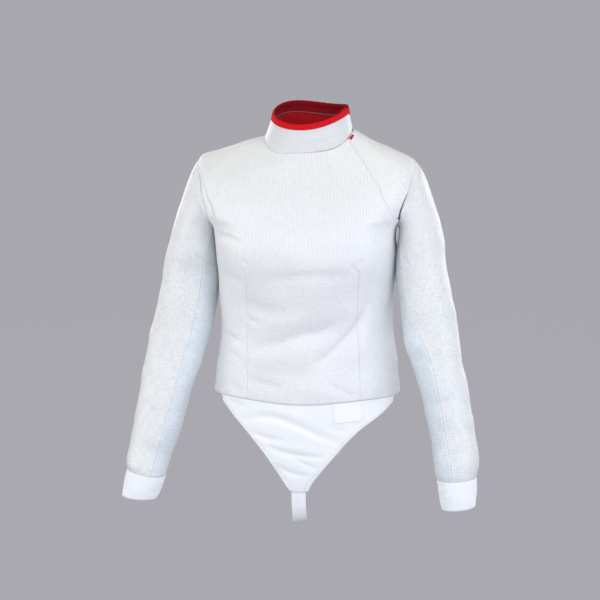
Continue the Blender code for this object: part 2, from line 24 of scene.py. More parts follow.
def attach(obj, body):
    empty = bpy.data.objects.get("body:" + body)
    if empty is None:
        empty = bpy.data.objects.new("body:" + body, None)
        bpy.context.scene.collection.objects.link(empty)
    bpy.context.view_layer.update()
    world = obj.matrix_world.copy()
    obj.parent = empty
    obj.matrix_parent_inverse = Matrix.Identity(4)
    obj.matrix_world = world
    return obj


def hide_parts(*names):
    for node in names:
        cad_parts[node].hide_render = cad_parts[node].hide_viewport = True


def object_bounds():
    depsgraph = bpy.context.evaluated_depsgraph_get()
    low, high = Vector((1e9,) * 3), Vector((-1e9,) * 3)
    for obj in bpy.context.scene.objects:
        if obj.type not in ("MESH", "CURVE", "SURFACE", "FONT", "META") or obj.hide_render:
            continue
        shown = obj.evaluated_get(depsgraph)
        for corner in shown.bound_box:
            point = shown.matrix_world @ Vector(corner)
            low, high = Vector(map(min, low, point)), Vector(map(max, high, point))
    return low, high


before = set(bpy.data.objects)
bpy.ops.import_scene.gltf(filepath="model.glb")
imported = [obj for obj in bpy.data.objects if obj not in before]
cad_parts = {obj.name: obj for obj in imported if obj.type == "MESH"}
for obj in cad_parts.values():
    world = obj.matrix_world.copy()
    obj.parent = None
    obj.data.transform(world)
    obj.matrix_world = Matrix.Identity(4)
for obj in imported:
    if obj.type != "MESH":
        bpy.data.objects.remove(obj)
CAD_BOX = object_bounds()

bl_info = {
    "name": "Fencing lamé",
    "version": (1, 0, 0),
    "blender": (4, 5, 0),
    "location": "3D View > Sidebar > Lamé",
    "description": "Makes the cloth pieces of a fencing lamé on its packed frame, and a stage",
    "category": "Add Mesh",
}

# ---------------------------------------------------------------- the garment's form
# Rings of the trunk, bottom to top. The rows below the hem shape the bib only.
# point is how far the middle of the front dips below the rest of the front.
# roll lifts the wearer's left end of a ring and lowers the right end.
Ring = namedtuple("Ring", "name side_z half_width front_depth back_depth "
                          "front_drop back_drop point roll")
BODY = (
    Ring("fork", -0.612, 0.1500, 0.086, 0.090, 0.000, 0.000, 0.000, 0.000),
    Ring("groin", -0.589, 0.1560, 0.093, 0.094, 0.000, 0.000, 0.002, 0.000),
    Ring("thigh", -0.540, 0.1630, 0.103, 0.098, 0.000, 0.000, 0.005, 0.000),
    Ring("hip", -0.493, 0.1650, 0.109, 0.102, 0.000, 0.002, 0.008, 0.000),
    Ring("hem", -0.4465, 0.1625, 0.111, 0.104, -0.001, 0.004, 0.009, 0.000),
    Ring("belly", -0.392, 0.1560, 0.109, 0.099, 0.000, 0.002, 0.005, 0.000),
    Ring("waist", -0.328, 0.1495, 0.108, 0.092, 0.001, 0.000, 0.001, 0.000),
    Ring("rib", -0.262, 0.1510, 0.114, 0.098, 0.002, 0.000, 0.000, 0.000),
    Ring("bust", -0.207, 0.1537, 0.1190, 0.105, 0.004, 0.000, 0.000, 0.000),
    Ring("armpit", -0.160, 0.1548, 0.1168, 0.109, 0.005, 0.000, 0.000, 0.000),
    Ring("chest", -0.129, 0.1800, 0.1138, 0.109, 0.018, 0.000, 0.000, 0.000),
    Ring("armhole", -0.095, 0.1900, 0.1092, 0.107, 0.035, 0.000, 0.000, -0.001),
    Ring("yoke", -0.065, 0.1890, 0.1036, 0.103, 0.048, -0.003, 0.000, -0.002),
    Ring("tip", -0.041, 0.1840, 0.0975, 0.098, 0.056, -0.006, 0.000, -0.003),
    Ring("shoulder", -0.027, 0.1500, 0.0890, 0.091, 0.049, -0.009, 0.000, -0.001),
    Ring("slope", -0.014, 0.1120, 0.080, 0.082, 0.040, -0.012, 0.000, 0.000),
    Ring("neck", 0.000, 0.0760, 0.070, 0.071, 0.031, -0.012, 0.000, 0.006),
)
ROW = {ring.name: number for number, ring in enumerate(BODY)}
SQUARENESS = 2.4            # 2 is an ellipse, more is boxier
NECK_SHIFT = 0.003          # the neck stands a little to the wearer's left
POINT_TURN = 30.0           # half the reach of a ring's dip round the front, in degrees
ARMHOLE_TURN = 30.0         # half the armhole's reach round the ring, in degrees
ARMHOLE_SCOOP = 0.3         # how much more it is cut out at its foot than at its top
EASE = 0.013                # the trunk's corners stand out by this much under the armholes,
EASE_ROW = 8.85             # round this row,
EASE_ROWS = 0.8             # over this many rows to either side,
EASE_END = 0.85             # and from the middle out to this share of the ring's half width

# The closing edge of the front: angle round the ring at each row it crosses.
CLOSING = (("armpit", 82.0), ("chest", 54.5), ("armhole", 47.0), ("yoke", 43.0),
           ("tip", 42.3), ("shoulder", 45.5), ("slope", 52.5), ("neck", 60.5))
UNDERLAP = 12.0             # degrees that the left front runs on under the flap
FLAP_LIP = 2.0              # degrees beside the flap's edge where it still lies under,
FLAP_REACH = 20.0           # and degrees over which it comes back up after that

# The bib's reach round the ring to either side of the middle, in degrees.
Reach = namedtuple("Reach", "name right left")
BIB_REACH = (
    Reach("fork", 4.5, 5.5),
    Reach("groin", 9.3, 9.0),
    Reach("thigh", 20.2, 21.4),
    Reach("hip", 35.0, 37.6),
    Reach("hem", 56.5, 72.0),
)
BIB_SWAY = -0.005           # the bib's tip hangs off the middle
BIB_TUCK = 0.12             # rows that the bib runs up behind the front's hem
BIB_TAPE_WIDTH = 0.006      # the folded tape along the bib's edges
BIB_TAPE_FOLD = 0.0024      # how far its fold stands beyond the edge
BIB_TAPE_EASE = 0.0005      # more air under it, because tape and bib bend differently
BIB_TAPE_ENDS = (0.12, 3.86)        # trunk rows where it starts and ends
BIB_TAPE_INSIDE = 0.96      # the share of the bib's reach from which the tape's direction is taken

# Sleeve rings from the armhole to the wrist: where the inner and outer edge lie seen from
# the front (x is the distance from the middle), the middle's depth, half the depth, and
# the angle of the seam between upper and under sleeve (0 outside, 90 front, 180 inside).
SleeveRing = namedtuple("SleeveRing", "inner_x inner_z outer_x outer_z middle_y half_depth seam")
SLEEVE = {
    "r": (
        SleeveRing(0.1550, -0.159, 0.1840, -0.040, 0.000, 0.050, 157.5),
        SleeveRing(0.1590, -0.162, 0.1910, -0.050, -0.001, 0.054, 152),
        SleeveRing(0.1600, -0.172, 0.1996, -0.063, -0.001, 0.055, 146),
        SleeveRing(0.1590, -0.190, 0.2161, -0.095, 0.002, 0.055, 137),
        SleeveRing(0.1568, -0.218, 0.2371, -0.158, 0.003, 0.052, 125),
        SleeveRing(0.1558, -0.250, 0.2515, -0.215, 0.003, 0.049, 122),
        SleeveRing(0.1600, -0.287, 0.2595, -0.266, -0.004, 0.047, 121),
        SleeveRing(0.1640, -0.321, 0.2672, -0.304, -0.014, 0.046, 119.5),
        SleeveRing(0.1710, -0.356, 0.2728, -0.339, -0.026, 0.045, 119.5),
        SleeveRing(0.1820, -0.392, 0.2780, -0.375, -0.038, 0.044, 119),
        SleeveRing(0.1967, -0.448, 0.2846, -0.432, -0.055, 0.042, 118),
        SleeveRing(0.2125, -0.505, 0.2927, -0.489, -0.071, 0.039, 117),
        SleeveRing(0.2249, -0.555, 0.2985, -0.540, -0.084, 0.036, 116),
        SleeveRing(0.2310, -0.577, 0.3010, -0.563, -0.092, 0.0345, 116),
        SleeveRing(0.2365, -0.588, 0.3005, -0.575, -0.094, 0.0325, 116),
    ),
    "l": (
        SleeveRing(0.1550, -0.161, 0.1840, -0.045, 0.000, 0.050, 157.5),
        SleeveRing(0.1590, -0.164, 0.1910, -0.054, -0.001, 0.054, 152),
        SleeveRing(0.1600, -0.174, 0.1995, -0.066, -0.004, 0.055, 146),
        SleeveRing(0.1580, -0.192, 0.2138, -0.098, -0.008, 0.055, 139),
        SleeveRing(0.1560, -0.220, 0.2320, -0.160, -0.016, 0.052, 131),
        SleeveRing(0.1585, -0.252, 0.2425, -0.217, -0.026, 0.049, 131.5),
        SleeveRing(0.1655, -0.287, 0.2515, -0.266, -0.037, 0.047, 131),
        SleeveRing(0.1696, -0.321, 0.2605, -0.304, -0.045, 0.045, 120),
        SleeveRing(0.1755, -0.352, 0.2660, -0.339, -0.053, 0.044, 108),
        SleeveRing(0.1860, -0.385, 0.2720, -0.373, -0.059, 0.042, 101),
        SleeveRing(0.2042, -0.440, 0.2818, -0.430, -0.068, 0.040, 102),
        SleeveRing(0.2170, -0.495, 0.2925, -0.486, -0.078, 0.038, 106),
        SleeveRing(0.2275, -0.545, 0.3010, -0.537, -0.088, 0.036, 105),
        SleeveRing(0.2310, -0.567, 0.3020, -0.560, -0.092, 0.0342, 104),
        SleeveRing(0.2340, -0.579, 0.2980, -0.573, -0.094, 0.0318, 104),
    ),
}
SEAM_PULL = 3.2             # sleeve rings over which the armhole's own shape fades out
ARMPIT_LIFT = 0.0020        # the sleeve starts this far over the trunk's edge at the armpit
GUSSET_END = 4.4            # sleeve ring where the gusset meets the under sleeve
SIDE = {"r": -1.0, "l": 1.0}

# A cuff runs from the sleeve's last ring to its mouth.
CUFF_MOUTH = {
    "r": SleeveRing(0.2510, -0.6260, 0.3105, -0.6210, -0.099, 0.0275, 0),
    "l": SleeveRing(0.2420, -0.6280, 0.2975, -0.6215, -0.099, 0.0270, 0),
}

CUFF_BULGE = 0.0012         # its middle stands out,
CUFF_DRAW = 0.0006          # its mouth is drawn in,
CUFF_FLUTES = (0.0003, 60)  # its ribs: height and number
CUFF_WAVES = 0.0005         # and its slower waves' height

# The collar's rim: a ring whose height follows a few sine terms.
RIM_HALF_WIDTH = 0.0652
RIM_FRONT = 0.0619
RIM_BACK = 0.0639
RIM_SHIFT = 0.0063
RIM_HEIGHT = 0.0376         # mean height over the origin
RIM_TILT = -0.0196          # cosine term: low in front, high behind
RIM_ROLL = 0.0025           # sine term: high at the wearer's left
RIM_TWIST = 0.0034          # second sine term: the overlapping end stands up
RIM_DIP = -0.0039           # second cosine term: low in the middle of the front and the back
RIM_WAVE = -0.0012          # third sine term
COLLAR_FOOT = 0.0014        # height of the collar's lower edge over the neck seam
COLLAR_START = 78.0         # turn of the overlapping end, in degrees
COLLAR_SWEEP = 374.0        # degrees from that end round the neck to the end under it
COLLAR_SINK = 0.0064        # how far inside the end under it lies
COLLAR_TUCK = (55.0, 17.0)  # degrees before that end where it starts and ends sinking in
BINDING_OUTER = 0.0078      # height of the binding on the outside
BINDING_INNER = 0.0068      # and on the inside
BINDING_CROWN = 0.0026      # its fold over the rim
BINDING_SHADE_REACH = (0.0012, 0.0042)     # over the fold it is painted darker, as shade, between these distances from the rim
TAB_REACH = 7.0             # the binding's folded end: degrees past the collar's end,
TAB_GAP = 0.4               # its gap to the binding, in degrees,
TAB_CROWN = 0.0062          # and its fold over the rim
TAB_OUTER = 0.0100
TAB_INNER = 0.0080
TAPE_UNEVEN = (0.00018, 0.0017, 2, 0.021)   # dents of its sewing: depth, step, and their wander
LINING_SEAM = 0.0175        # the lining's piped seam: how far below the rim,
LINING_PIPING = (0.0011, 0.0005)    # how far beside it its piping ends and is full,
LINING_BRIGHT = (0.001, 0.004)      # and how far below it the lining brightens
LINING_WAVE = 0.0135        # its slack waves' step, divided by a full turn,
LINING_SUNK = 0.0005        # and how deep these and the piping's groove are
COLLAR_EVEN = 0.006         # creases die away this far above the collar's foot
COLLAR_SHADE_TONE = (0.865, 0.877, 0.890)   # the collar's lamé beside the trunk's, painted darker and bluer as shade,
SLEEVE_TONE = (0.935, 0.94, 0.94)     # that of the upper sleeves, whose cloth is crushed more,
UNDER_SLEEVE_SHADE_TONE = (0.90, 0.955, 1.0)       # that of the under sleeves and gussets, cut on another grain, painted darker and bluer for their shade and sheen,
ARMPIT_SHADE_TINT = (0.86, 0.82, 0.75)          # and the painted shade under the arms, darker and browner between sleeve and trunk

# How each cloth looks: its shader's values, its darkest and lightest threads as shares of
# its colour in the settings, and how far the threads stand out, in metres.
Finish = namedtuple("Finish", "roughness sheen specular metallic dark light relief")
LAME_FINISH = Finish(0.46, 0.10, 0.45, 0.12, (0.885, 0.89, 0.895), (1.115, 1.11, 1.105), 0.00020)
COTTON_FINISH = Finish(0.88, 0.15, 0.25, 0.0, (0.965, 0.97, 0.98), (1.03, 1.03, 1.02), 0.00012)
KNIT_FINISH = Finish(0.80, 0.12, 0.30, 0.0, (0.93, 0.94, 0.96), (1.06, 1.055, 1.03), 0.00018)
TAPE_FINISH = Finish(0.75, 0.0, 0.10, 0.0, (0.82, 0.7, 0.7), (1.16, 2.0, 1.8), 0.00018)
LINING_FINISH = Finish(0.80, 0.05, 0.20, 0.0, (0.50, 0.4, 0.5), (1.50, 1.7, 1.5), 0.00020)
SATIN_FINISH = Finish(0.42, 0.10, 0.50, 0.0, (0.96, 0.965, 0.97), (1.02, 1.02, 1.02), 0.00008)
THREAD_FINISH = Finish(0.55, 0.0, 0.50, 0.0, (0.88, 0.88, 0.88), (1.06, 1.06, 1.06), 0.0)
LAME_ROUGH = (0.40, 0.12)   # the lamé's least roughness, and how much its weft threads add
TAPE_INSIDE_SHADE = (0.85, 0.8, 0.9)      # the binding's inner leg beside the lining, painted as shade
LINING_LOWER = (1.9, 2.2, 1.4)      # and the lining under its seam beside its colour
SHEEN_SPREAD = 0.45         # the sheen's roughness

# Uneven threads: how many to a metre across and along the cloth, and their contrast.
Slub = namedtuple("Slub", "across up contrast")
WEFT, WARP, GRAIN = Slub(95, 400, 2.4), Slub(330, 70, 2.4), Slub(620, 620, 2.0)
WEFT_FLECKS, WARP_FLECKS = Slub(75, 520, 2.8), Slub(480, 55, 2.8)
# Steps of plain weaves, in metres, across and along the cloth.
LAME_WEAVE = (0.0026, 0.0022)
COTTON_WEAVE = (0.0009, 0.0009)
LINING_WEAVE = (0.0012, 0.0012)
TAPE_RIB = 0.0012
KNIT_LOOP = 0.0016
SATIN_THREAD = 0.0008

# Where the lamé's looks change: a smooth ramp from the first of two places to the second.
CHEST_SIDE = (0.205, 0.150)     # the chest's upright lines: distance from the middle,
CHEST_FOOT = (-0.200, -0.140)   # their lower ends' height
CHEST_HEAD = (-0.008, -0.022)   # and their upper ends'
CRUSHED_SIDE = (0.105, 0.190)   # the crushed cloth of the sleeves: distance from the middle
CRUSHED = 1.1                   # and strength
ARMPIT_SHADE_SIDE = (0.225, 0.170)   # the painted shade under the arms: distance from the middle,
ARMPIT_SHADE_FOOT = (-0.350, -0.270) # height
ARMPIT_SHADE_STRENGTH = 0.75                # and strength
DRIFT = 5.0                     # how far lines and ribs go astray, in radians,
STRAY = 0.06                    # and how far those places do, in metres

# Crotch strap: its middle line, and how far it turns about that line.
Station = namedtuple("Station", "x y z turn")
STRAP_WIDTH = 0.025
STRAP = (
    Station(-0.0050, -0.0745, -0.6420, 0),
    Station(-0.0058, -0.0590, -0.6640, -6),
    Station(-0.0092, -0.0320, -0.6750, -14),
    Station(-0.0150, 0.0050, -0.6715, -14),
    Station(-0.0210, 0.0420, -0.6500, -10),
    Station(-0.0220, 0.0750, -0.6060, -4),
    Station(-0.0130, 0.0960, -0.5400, 0),
)
STRAP_FRONT = 0.45          # trunk row where the strap starts behind the bib
STRAP_LEAD = 0.35           # rows below the back's hem from which it follows the back,
STRAP_BACK = 0.22           # and rows that it runs up behind that hem
STRAP_STEP = 0.05           # part of a station over which its direction is measured
STRAP_AIR = 0.0008          # extra air, because the flat strap lies on a rounded back
STRAP_FREE = 3              # station from which it no longer follows the bib's creases
STRAP_CUP = 0.0004          # how far its edges curl in

# Largest folds of the trunk: place of the middle, half length, half width, slant in
# degrees and depth. A negative depth is a ridge.
Fold = namedtuple("Fold", "x z half_length half_width slant depth")
FRONT_FOLDS = (
    Fold(0.012, -0.238, 0.075, 0.014, 0, 0.0010),
    Fold(-0.070, -0.298, 0.045, 0.014, -8, 0.0012),
    Fold(-0.002, -0.343, 0.078, 0.016, 16, 0.0018),
    Fold(0.050, -0.368, 0.060, 0.013, 42, 0.0012),
    Fold(-0.075, -0.090, 0.060, 0.016, 14, 0.0010),
)
BACK_FOLDS = (
    Fold(0.020, -0.300, 0.080, 0.015, -6, 0.0040),
    Fold(-0.040, -0.352, 0.070, 0.014, 10, 0.0035),
    Fold(0.055, -0.120, 0.050, 0.018, 30, 0.0025),
)
BUST_OUT = 0.085            # the bust's two soft crests: distance from the middle,
BUST_HEIGHT = -0.205        # height,
BUST_SPREAD = 0.060         # spread
BUST_RISE = 0.007           # and rise over the ring

LABEL_SIDES = (20.0, 37.6)  # turn of the label's two sides, in degrees
LABEL_ENDS = (3.25, 3.95)   # trunk rows of its lower and upper edge
ZIP_SIDES = (4.5, 13.0)     # the zip tape's end: degrees beside the closing edge
ZIP_ENDS = (15.84, 15.94)   # and its trunk rows

# A sheet's cut, a record that no piece here fills: the width and length of its cloth, its own area
# where it isn't a rectangle, and how it is worn. A cuff is a tube, measured all round.
Cut = namedtuple("Cut", "width length area held")


# ---------------------------------------------------------------- cloth layers
GAP = 0.0003                # air between cloths that lie on each other
SEWN = -0.0003              # sewn edges run into each other by this much
LAYER = 0.0025              # step from one cloth to the next one under it
HEM_LAYER = 0.0016          # and from the front to the bib at the hem
CLOTH = 0.0012              # wall of the lamé and of the bib
LINING = 0.0010             # wall of the collar lining
TAPE = 0.0008               # wall of bindings, tab and label
ELASTIC = 0.0018            # wall of cuffs and strap
THREAD = 0.00022            # half the thickness of a sewn stitch,
THREAD_FLAT = 1.3           # its width as a share of its thickness,
THREAD_LIE = 0.4            # and how far its middle lies over the cloth, as a share of that half
STITCH = 0.0030             # from one stitch to the next
STITCH_PART = 0.62          # how much of that the thread shows

# Grooves along sewn edges: depth and half width.
SEAM_GROOVE = (0.0005, 0.0014)
CLOSING_GROOVE = (0.0011, 0.0010)
DART_GROOVE = (0.0013, 0.0009)
SLEEVE_GROOVE = (0.0007, 0.0009)
LIP = (0.0026, 0.0005, 0.0013)      # the raised lip beside it: distance, height and half width
ARMHOLE_GROOVE = (0.0005, 0.0016)
COLLAR_GROOVE = (0.0004, 0.0014)
# Puckers along a seam: share of its depth, step, and how far and over what length they wander.
Pucker = namedtuple("Pucker", "share step wander reach")
TRUNK_PUCKER = Pucker(0.45, 0.0021, 2.5, 0.0113)
SLEEVE_PUCKER = Pucker(0.5, 0.0019, 2.2, 0.0091)
# Gathers round a sleeve's end: number round it, how much and how often they wander, and
# how far they reach from it.
Gathers = namedtuple("Gathers", "count wander bends reach")
SHOULDER_GATHERS = Gathers(21, 1.5, 5, 0.010)
WRIST_GATHERS = Gathers(26, 2.0, 3, 0.016)
GATHER_DEPTH = 0.0004
WRIST_FINE = (0.6, 41, 1.0)         # finer gathers among them: share, number and phase
WRIST_EDGE = 0.004                  # they die away this near to the cuff,
WRIST_EVEN = 0.012                  # and the sleeve's creases over this length above it
DART_FADE = 0.012           # a dart closes over this length under its tip,
DART_DENT = (0.0011, 0.0050)        # and the dent at its tip: depth and half width

HEM_STITCH = 0.0060         # rows of stitches: how far inside the edge they run
CLOSING_STITCH = 0.0030
COLLAR_STITCH = 0.0036
TAPE_STITCH = 0.0012
LABEL_STITCH = 0.0014
TRUNK_MIDDLE = np.array([0.0, 0.0, -0.25])      # panels face away from these points
BIB_MIDDLE = np.array([0.0, 0.0, -0.5])

STEP = 0.0028               # from one row of a panel's grid to the next,
ROW_SAMPLES = 500           # found by measuring up the trunk in this many places
ROW_TURNS = (5.0, 60.0, 90.0)       # at these angles round it,
SLEEVE_SAMPLES = 600        # and down a sleeve in this many places
SLEEVE_TURN = 60.0          # at this angle round it
BIB_STEP = 0.0020
BIB_TAPE_STEP = 0.0022
CROWDING = 0.85             # how much columns are drawn towards seams and darts
BIB_CROWDING = 0.6
FRONT_COLUMNS = (34, 62, 30)        # from edge to dart, to dart, to edge
BACK_COLUMNS = (62, 62)
LEFT_FRONT_COLUMNS = 41
UPPER_COLUMNS, UNDER_COLUMNS, GUSSET_COLUMNS = 77, 41, 33
CUFF_GRID = (20, 241)       # rows and columns
COLLAR_GRID = (45, 221)
BINDING_ROWS, BINDING_COLUMNS, TAB_COLUMNS = 25, 260, 10
ZIP_GRID = (9, 16)
BIB_COLUMNS = 101
BIB_TAPE_ROWS = 19
LABEL_GRID = (25, 33)
STRAP_GRID = (190, 17)
TRUNK_LEAN = 0.5            # how much the trunk's threads follow its slope forward or back
LEFT_FRONT_FOOT = 0.038     # rows above the armpit where the left front starts

# Two sewn darts in the front: trunk row and angle round the ring, from hem to tip.
# Above its tip a dart's line only carries columns of the grid.
DART_TIP = 7.96
DART_RIGHT = ((4.0, -31.8), (5.0, -34.0), (5.7, -35.0), (6.8, -35.0), (7.96, -33.0),
              (10.0, -31.0), (13.0, -28.0), (16.0, -42.0))
DART_LEFT = ((4.0, 37.0), (5.7, 38.0), (6.8, 37.5), (7.96, 36.5), (9.5, 33.0), (13.0, 25.0),
             (16.0, 33.0))

# Creases, in millimetres: lines seen from the front or the back as (x, z) points, how wide
# the trough is above and below its line, and how deep. A negative depth is a ridge.
Crease = namedtuple("Crease", "line above below depth")
CREASES = {
    "front": (
        # upper chest and armpits
        Crease(((-118, -64), (-58, -54), (-2, -43)), 6, 5, -1.2),
        Crease(((-120, -76), (-60, -64), (-15, -58)), 6, 6, -0.6),
        Crease(((-152, -170), (-122, -173), (-93, -183)), 5, 10, 2.4),
        Crease(((-146, -124), (-130, -132), (-102, -147)), 6, 10, 0.8),
        Crease(((-173, -90), (-166.4, -105), (-156.1, -126.5), (-150.9, -150),
                (-150, -162)), 3.2, 2.6, 3),
        Crease(((150, -120), (143, -150), (138, -185)), 6, 5, 0.8),
        Crease(((20, -60), (55, -85), (85, -125)), 12, 12, 0.8),
        # under the bust, from dart tip to dart tip
        Crease(((-56, -243), (-20, -237), (15, -232), (60, -231), (98, -225)), 6, 13, 1.1),
        Crease(((82, -210), (91, -219.5), (100, -234)), 2.5, 3, 1.3),
        # waist
        Crease(((-106, -280), (-75, -288), (-48, -295), (-4, -289)), 10, 12, 1.5),
        Crease(((-98, -303), (-84, -311), (-64, -320)), 3, 6, 1),
        Crease(((-88, -363), (-40, -351), (2, -337), (38, -328), (92, -307)), 11, 12, 1.9),
        Crease(((-80, -328), (-30, -318), (40, -298)), 10, 9, -0.6),
        Crease(((26, -384), (48.5, -368), (74, -343), (95.5, -316.5), (107.5, -294.5),
                (113.5, -274)), 4.5, 9, 2.2),
        Crease(((30, -352), (60, -326), (88, -302)), 8, 7, -0.5),
        Crease(((90, -396), (106, -350), (118, -302)), 9, 11, -1.3),
        Crease(((108, -268), (112, -280), (111, -293)), 4, 4, 1),
        # side dents
        Crease(((-143, -232), (-122, -240), (-98, -253)), 8, 10, 1.2),
        Crease(((-150, -335), (-128, -342), (-101, -352)), 4, 9, 1.6),
        Crease(((-136, -368), (-118, -375), (-102, -381)), 4, 8, 1),
        Crease(((120, -330), (138, -345), (150, -352)), 8, 9, 1.2),
        # belly and hem
        Crease(((-94, -411), (-62, -420), (-22, -426)), 7, 10, 1.3),
        Crease(((42, -413), (66, -427), (94, -442)), 5, 8, 1.2),
        Crease(((-128, -420), (-112, -432), (-98, -446)), 8, 8, 1),
        # bib
        Crease(((-101, -489), (-70, -479), (-38, -480), (5, -496), (36, -510),
                (70, -520)), 8, 5.5, 4.2),
        Crease(((-70, -470), (-30, -468), (20, -484)), 8, 7, -1.2),
        Crease(((-86, -506), (-58, -515), (-26, -519)), 6, 5, 2.6),
        Crease(((-60, -528), (-30, -540), (8, -545.5), (44, -546)), 6, 5, 3.2),
        Crease(((-52, -520), (-15, -530), (30, -533)), 6, 6, -1),
        Crease(((-12, -549), (8, -559), (29, -567)), 4, 4, 2.2),
        Crease(((-45, -561), (-28, -572), (-9, -579), (13, -581)), 5, 4.5, 2.6),
        Crease(((46, -490), (62, -497), (84, -500)), 4, 5, 1.4),
        Crease(((-130, -455), (-115, -458), (-94, -464)), 5, 6, 1.8),
        # the wearer's right sleeve
        Crease(((-217, -297), (-205, -305), (-192, -317)), 5, 5, 2.4),
        Crease(((-206, -283), (-196, -292), (-186, -300)), 4, 5, 1.4),
        Crease(((-252, -340), (-240, -353), (-225, -369)), 5, 6, 2.4),
        Crease(((-269, -326), (-255, -345), (-237, -368)), 6, 5, 1.4),
        Crease(((-266, -462), (-256, -474), (-247, -488)), 6, 6, 1.6),
        Crease(((-190, -208), (-182, -216), (-172, -226)), 4, 4, 1.6),
        Crease(((-178, -108), (-190, -150), (-196, -190)), 12, 12, 1.4),
        Crease(((-280, -395), (-262, -405), (-240, -412)), 10, 10, 1.2),
        # the wearer's left sleeve
        Crease(((230, -249), (215, -272), (197, -293)), 6, 7, 2.6),
        Crease(((184, -210), (192, -203), (207, -191)), 6, 6, 1.6),
        Crease(((172, -206), (179, -214), (181, -222)), 3, 3, 1.6),
        Crease(((238, -323), (220, -334), (200, -344)), 7, 8, 1.8),
        Crease(((268, -430), (250, -440), (232, -452)), 8, 8, 1.6),
        Crease(((286, -520), (268, -530), (250, -536)), 7, 7, 1.4),
        Crease(((186, -100), (200, -145), (205, -185)), 12, 12, 1.4),
        # collar
        Crease(((10, -8), (40, -4), (66, 12)), 3, 4, 0.8),
        Crease(((22, 6), (44, 12), (64, 26)), 3, 3, 0.5),
    ),
    "back": (
        Crease(((-60, -150), (0, -160), (60, -148)), 14, 14, 1.8),
        Crease(((150, -172), (120, -178), (88, -192)), 8, 11, 1.8),
        Crease(((-150, -170), (-120, -180), (-92, -196)), 8, 11, 1.6),
        Crease(((110, -75), (90, -110), (60, -150)), 13, 12, 1.8),
        Crease(((-115, -80), (-95, -112), (-70, -140)), 12, 12, 1.6),
        Crease(((-90, -262), (-30, -256), (50, -268)), 8, 10, 2.6),
        Crease(((100, -290), (50, -306), (-20, -300)), 8, 10, 3),
        Crease(((-110, -330), (-60, -342), (10, -336)), 8, 8, 2.8),
        Crease(((90, -352), (40, -372), (-30, -386)), 9, 8, 3),
        Crease(((128, -330), (100, -345), (70, -350)), 6, 7, 1.8),
        Crease(((-120, -405), (-60, -414), (0, -410)), 8, 8, 1.6),
        Crease(((30, -420), (75, -424), (115, -416)), 8, 8, 1.4),
        Crease(((-225, -262), (-205, -275), (-182, -290)), 6, 7, 2.4),
        Crease(((-250, -300), (-230, -315), (-205, -330)), 6, 7, 2.2),
        Crease(((-268, -420), (-250, -432), (-230, -440)), 8, 8, 1.4),
        Crease(((235, -262), (212, -278), (190, -292)), 6, 7, 2.4),
        Crease(((246, -318), (226, -330), (204, -340)), 6, 7, 2),
        Crease(((275, -450), (256, -462), (238, -470)), 8, 8, 1.4),
    ),
}
# Slight unevenness of all the cloth: wave length and height, in metres.
RIPPLES = ((0.160, 0.00036), (0.115, 0.00030), (0.084, 0.00020), (0.061, 0.00015),
           (0.047, 0.00011), (0.036, 0.00009))
SLEEVE_RIPPLE = 2.1         # how much stronger they are on the sleeves
RIPPLE_SLEEVE = (0.150, 0.030)      # from this far off the middle, over this distance
RIPPLE_LIE = (0.8, 0.8, 1.3)        # they lie across rather than upright
RIPPLE_SEED = 11
CREASE_TAPER = 0.7          # below 1 a crease keeps its depth nearer to its ends
# A crease of the front shows where the cloth faces forward by more than the first share,
# and fully where it does by the second more.
CREASE_TURN = (-0.20, 0.65)
CREASE_PARTS = 5            # steps for each of its points


# ---------------------------------------------------------------- the stage
ROOM_FLOOR = 3.2            # radius of the round room's flat floor,
ROOM_BEND = 1.6             # of the bend up to its wall,
ROOM_HEIGHT = 4.6           # and the wall's height
ROOM_BEND_STEPS = 13        # points in the bend
ROOM_STEPS = 96             # and steps round the room
LOOK_AT = (-0.013, 0.0, -0.289)
Lamp = namedtuple("Lamp", "name share place width height power tint")
LAMPS = (
    Lamp("key", "key", (-1.5, -2.6, 0.85), 2.4, 2.0, 14.5, (1.0, 0.995, 0.935)),
    Lamp("front", "front", (0.2, -3.1, -0.10), 2.6, 1.3, 25.0, (0.865, 0.895, 1.0)),
    Lamp("side_left", "side", (2.3, -2.0, -0.05), 1.8, 1.4, 23.0, (0.785, 0.845, 1.0)),
    Lamp("side_right", "side", (-2.5, -1.6, -0.05), 1.8, 1.4, 14.0, (0.90, 0.96, 1.0)),
    Lamp("far_left", "side", (3.0, -0.3, 0.10), 1.8, 1.6, 11.5, (0.87, 0.92, 1.0)),
    Lamp("far_right", "side", (-3.0, -0.3, 0.10), 1.8, 1.6, 12.5, (1.0, 0.98, 0.85)),
    Lamp("top", "top", (0.0, -0.2, 2.6), 2.0, 2.0, 14.0, (1.0, 0.99, 0.76)),
    Lamp("top_left", "top", (1.7, -1.5, 1.7), 1.8, 1.8, 13.0, (1.0, 0.92, 0.75)),
    Lamp("back_right", "back", (-2.0, 2.4, 0.6), 2.0, 1.6, 26.0, (1.0, 0.99, 0.975)),
    Lamp("back_left", "back", (2.0, 2.4, 0.3), 2.0, 1.6, 25.0, (0.96, 0.98, 1.0)),
)


# ---------------------------------------------------------------- settings
def colour(name, description, default):
    return FloatVectorProperty(name=name, description=description, default=default,
                               subtype="COLOR", size=3, min=0.0, max=1.0)


def length(name, description, default, least, most):
    return FloatProperty(name=name, description=description, default=default, min=least, max=most,
                         unit="LENGTH")


def strength(name, description):
    return FloatProperty(name=name, description=description, default=1.0, min=0.0)


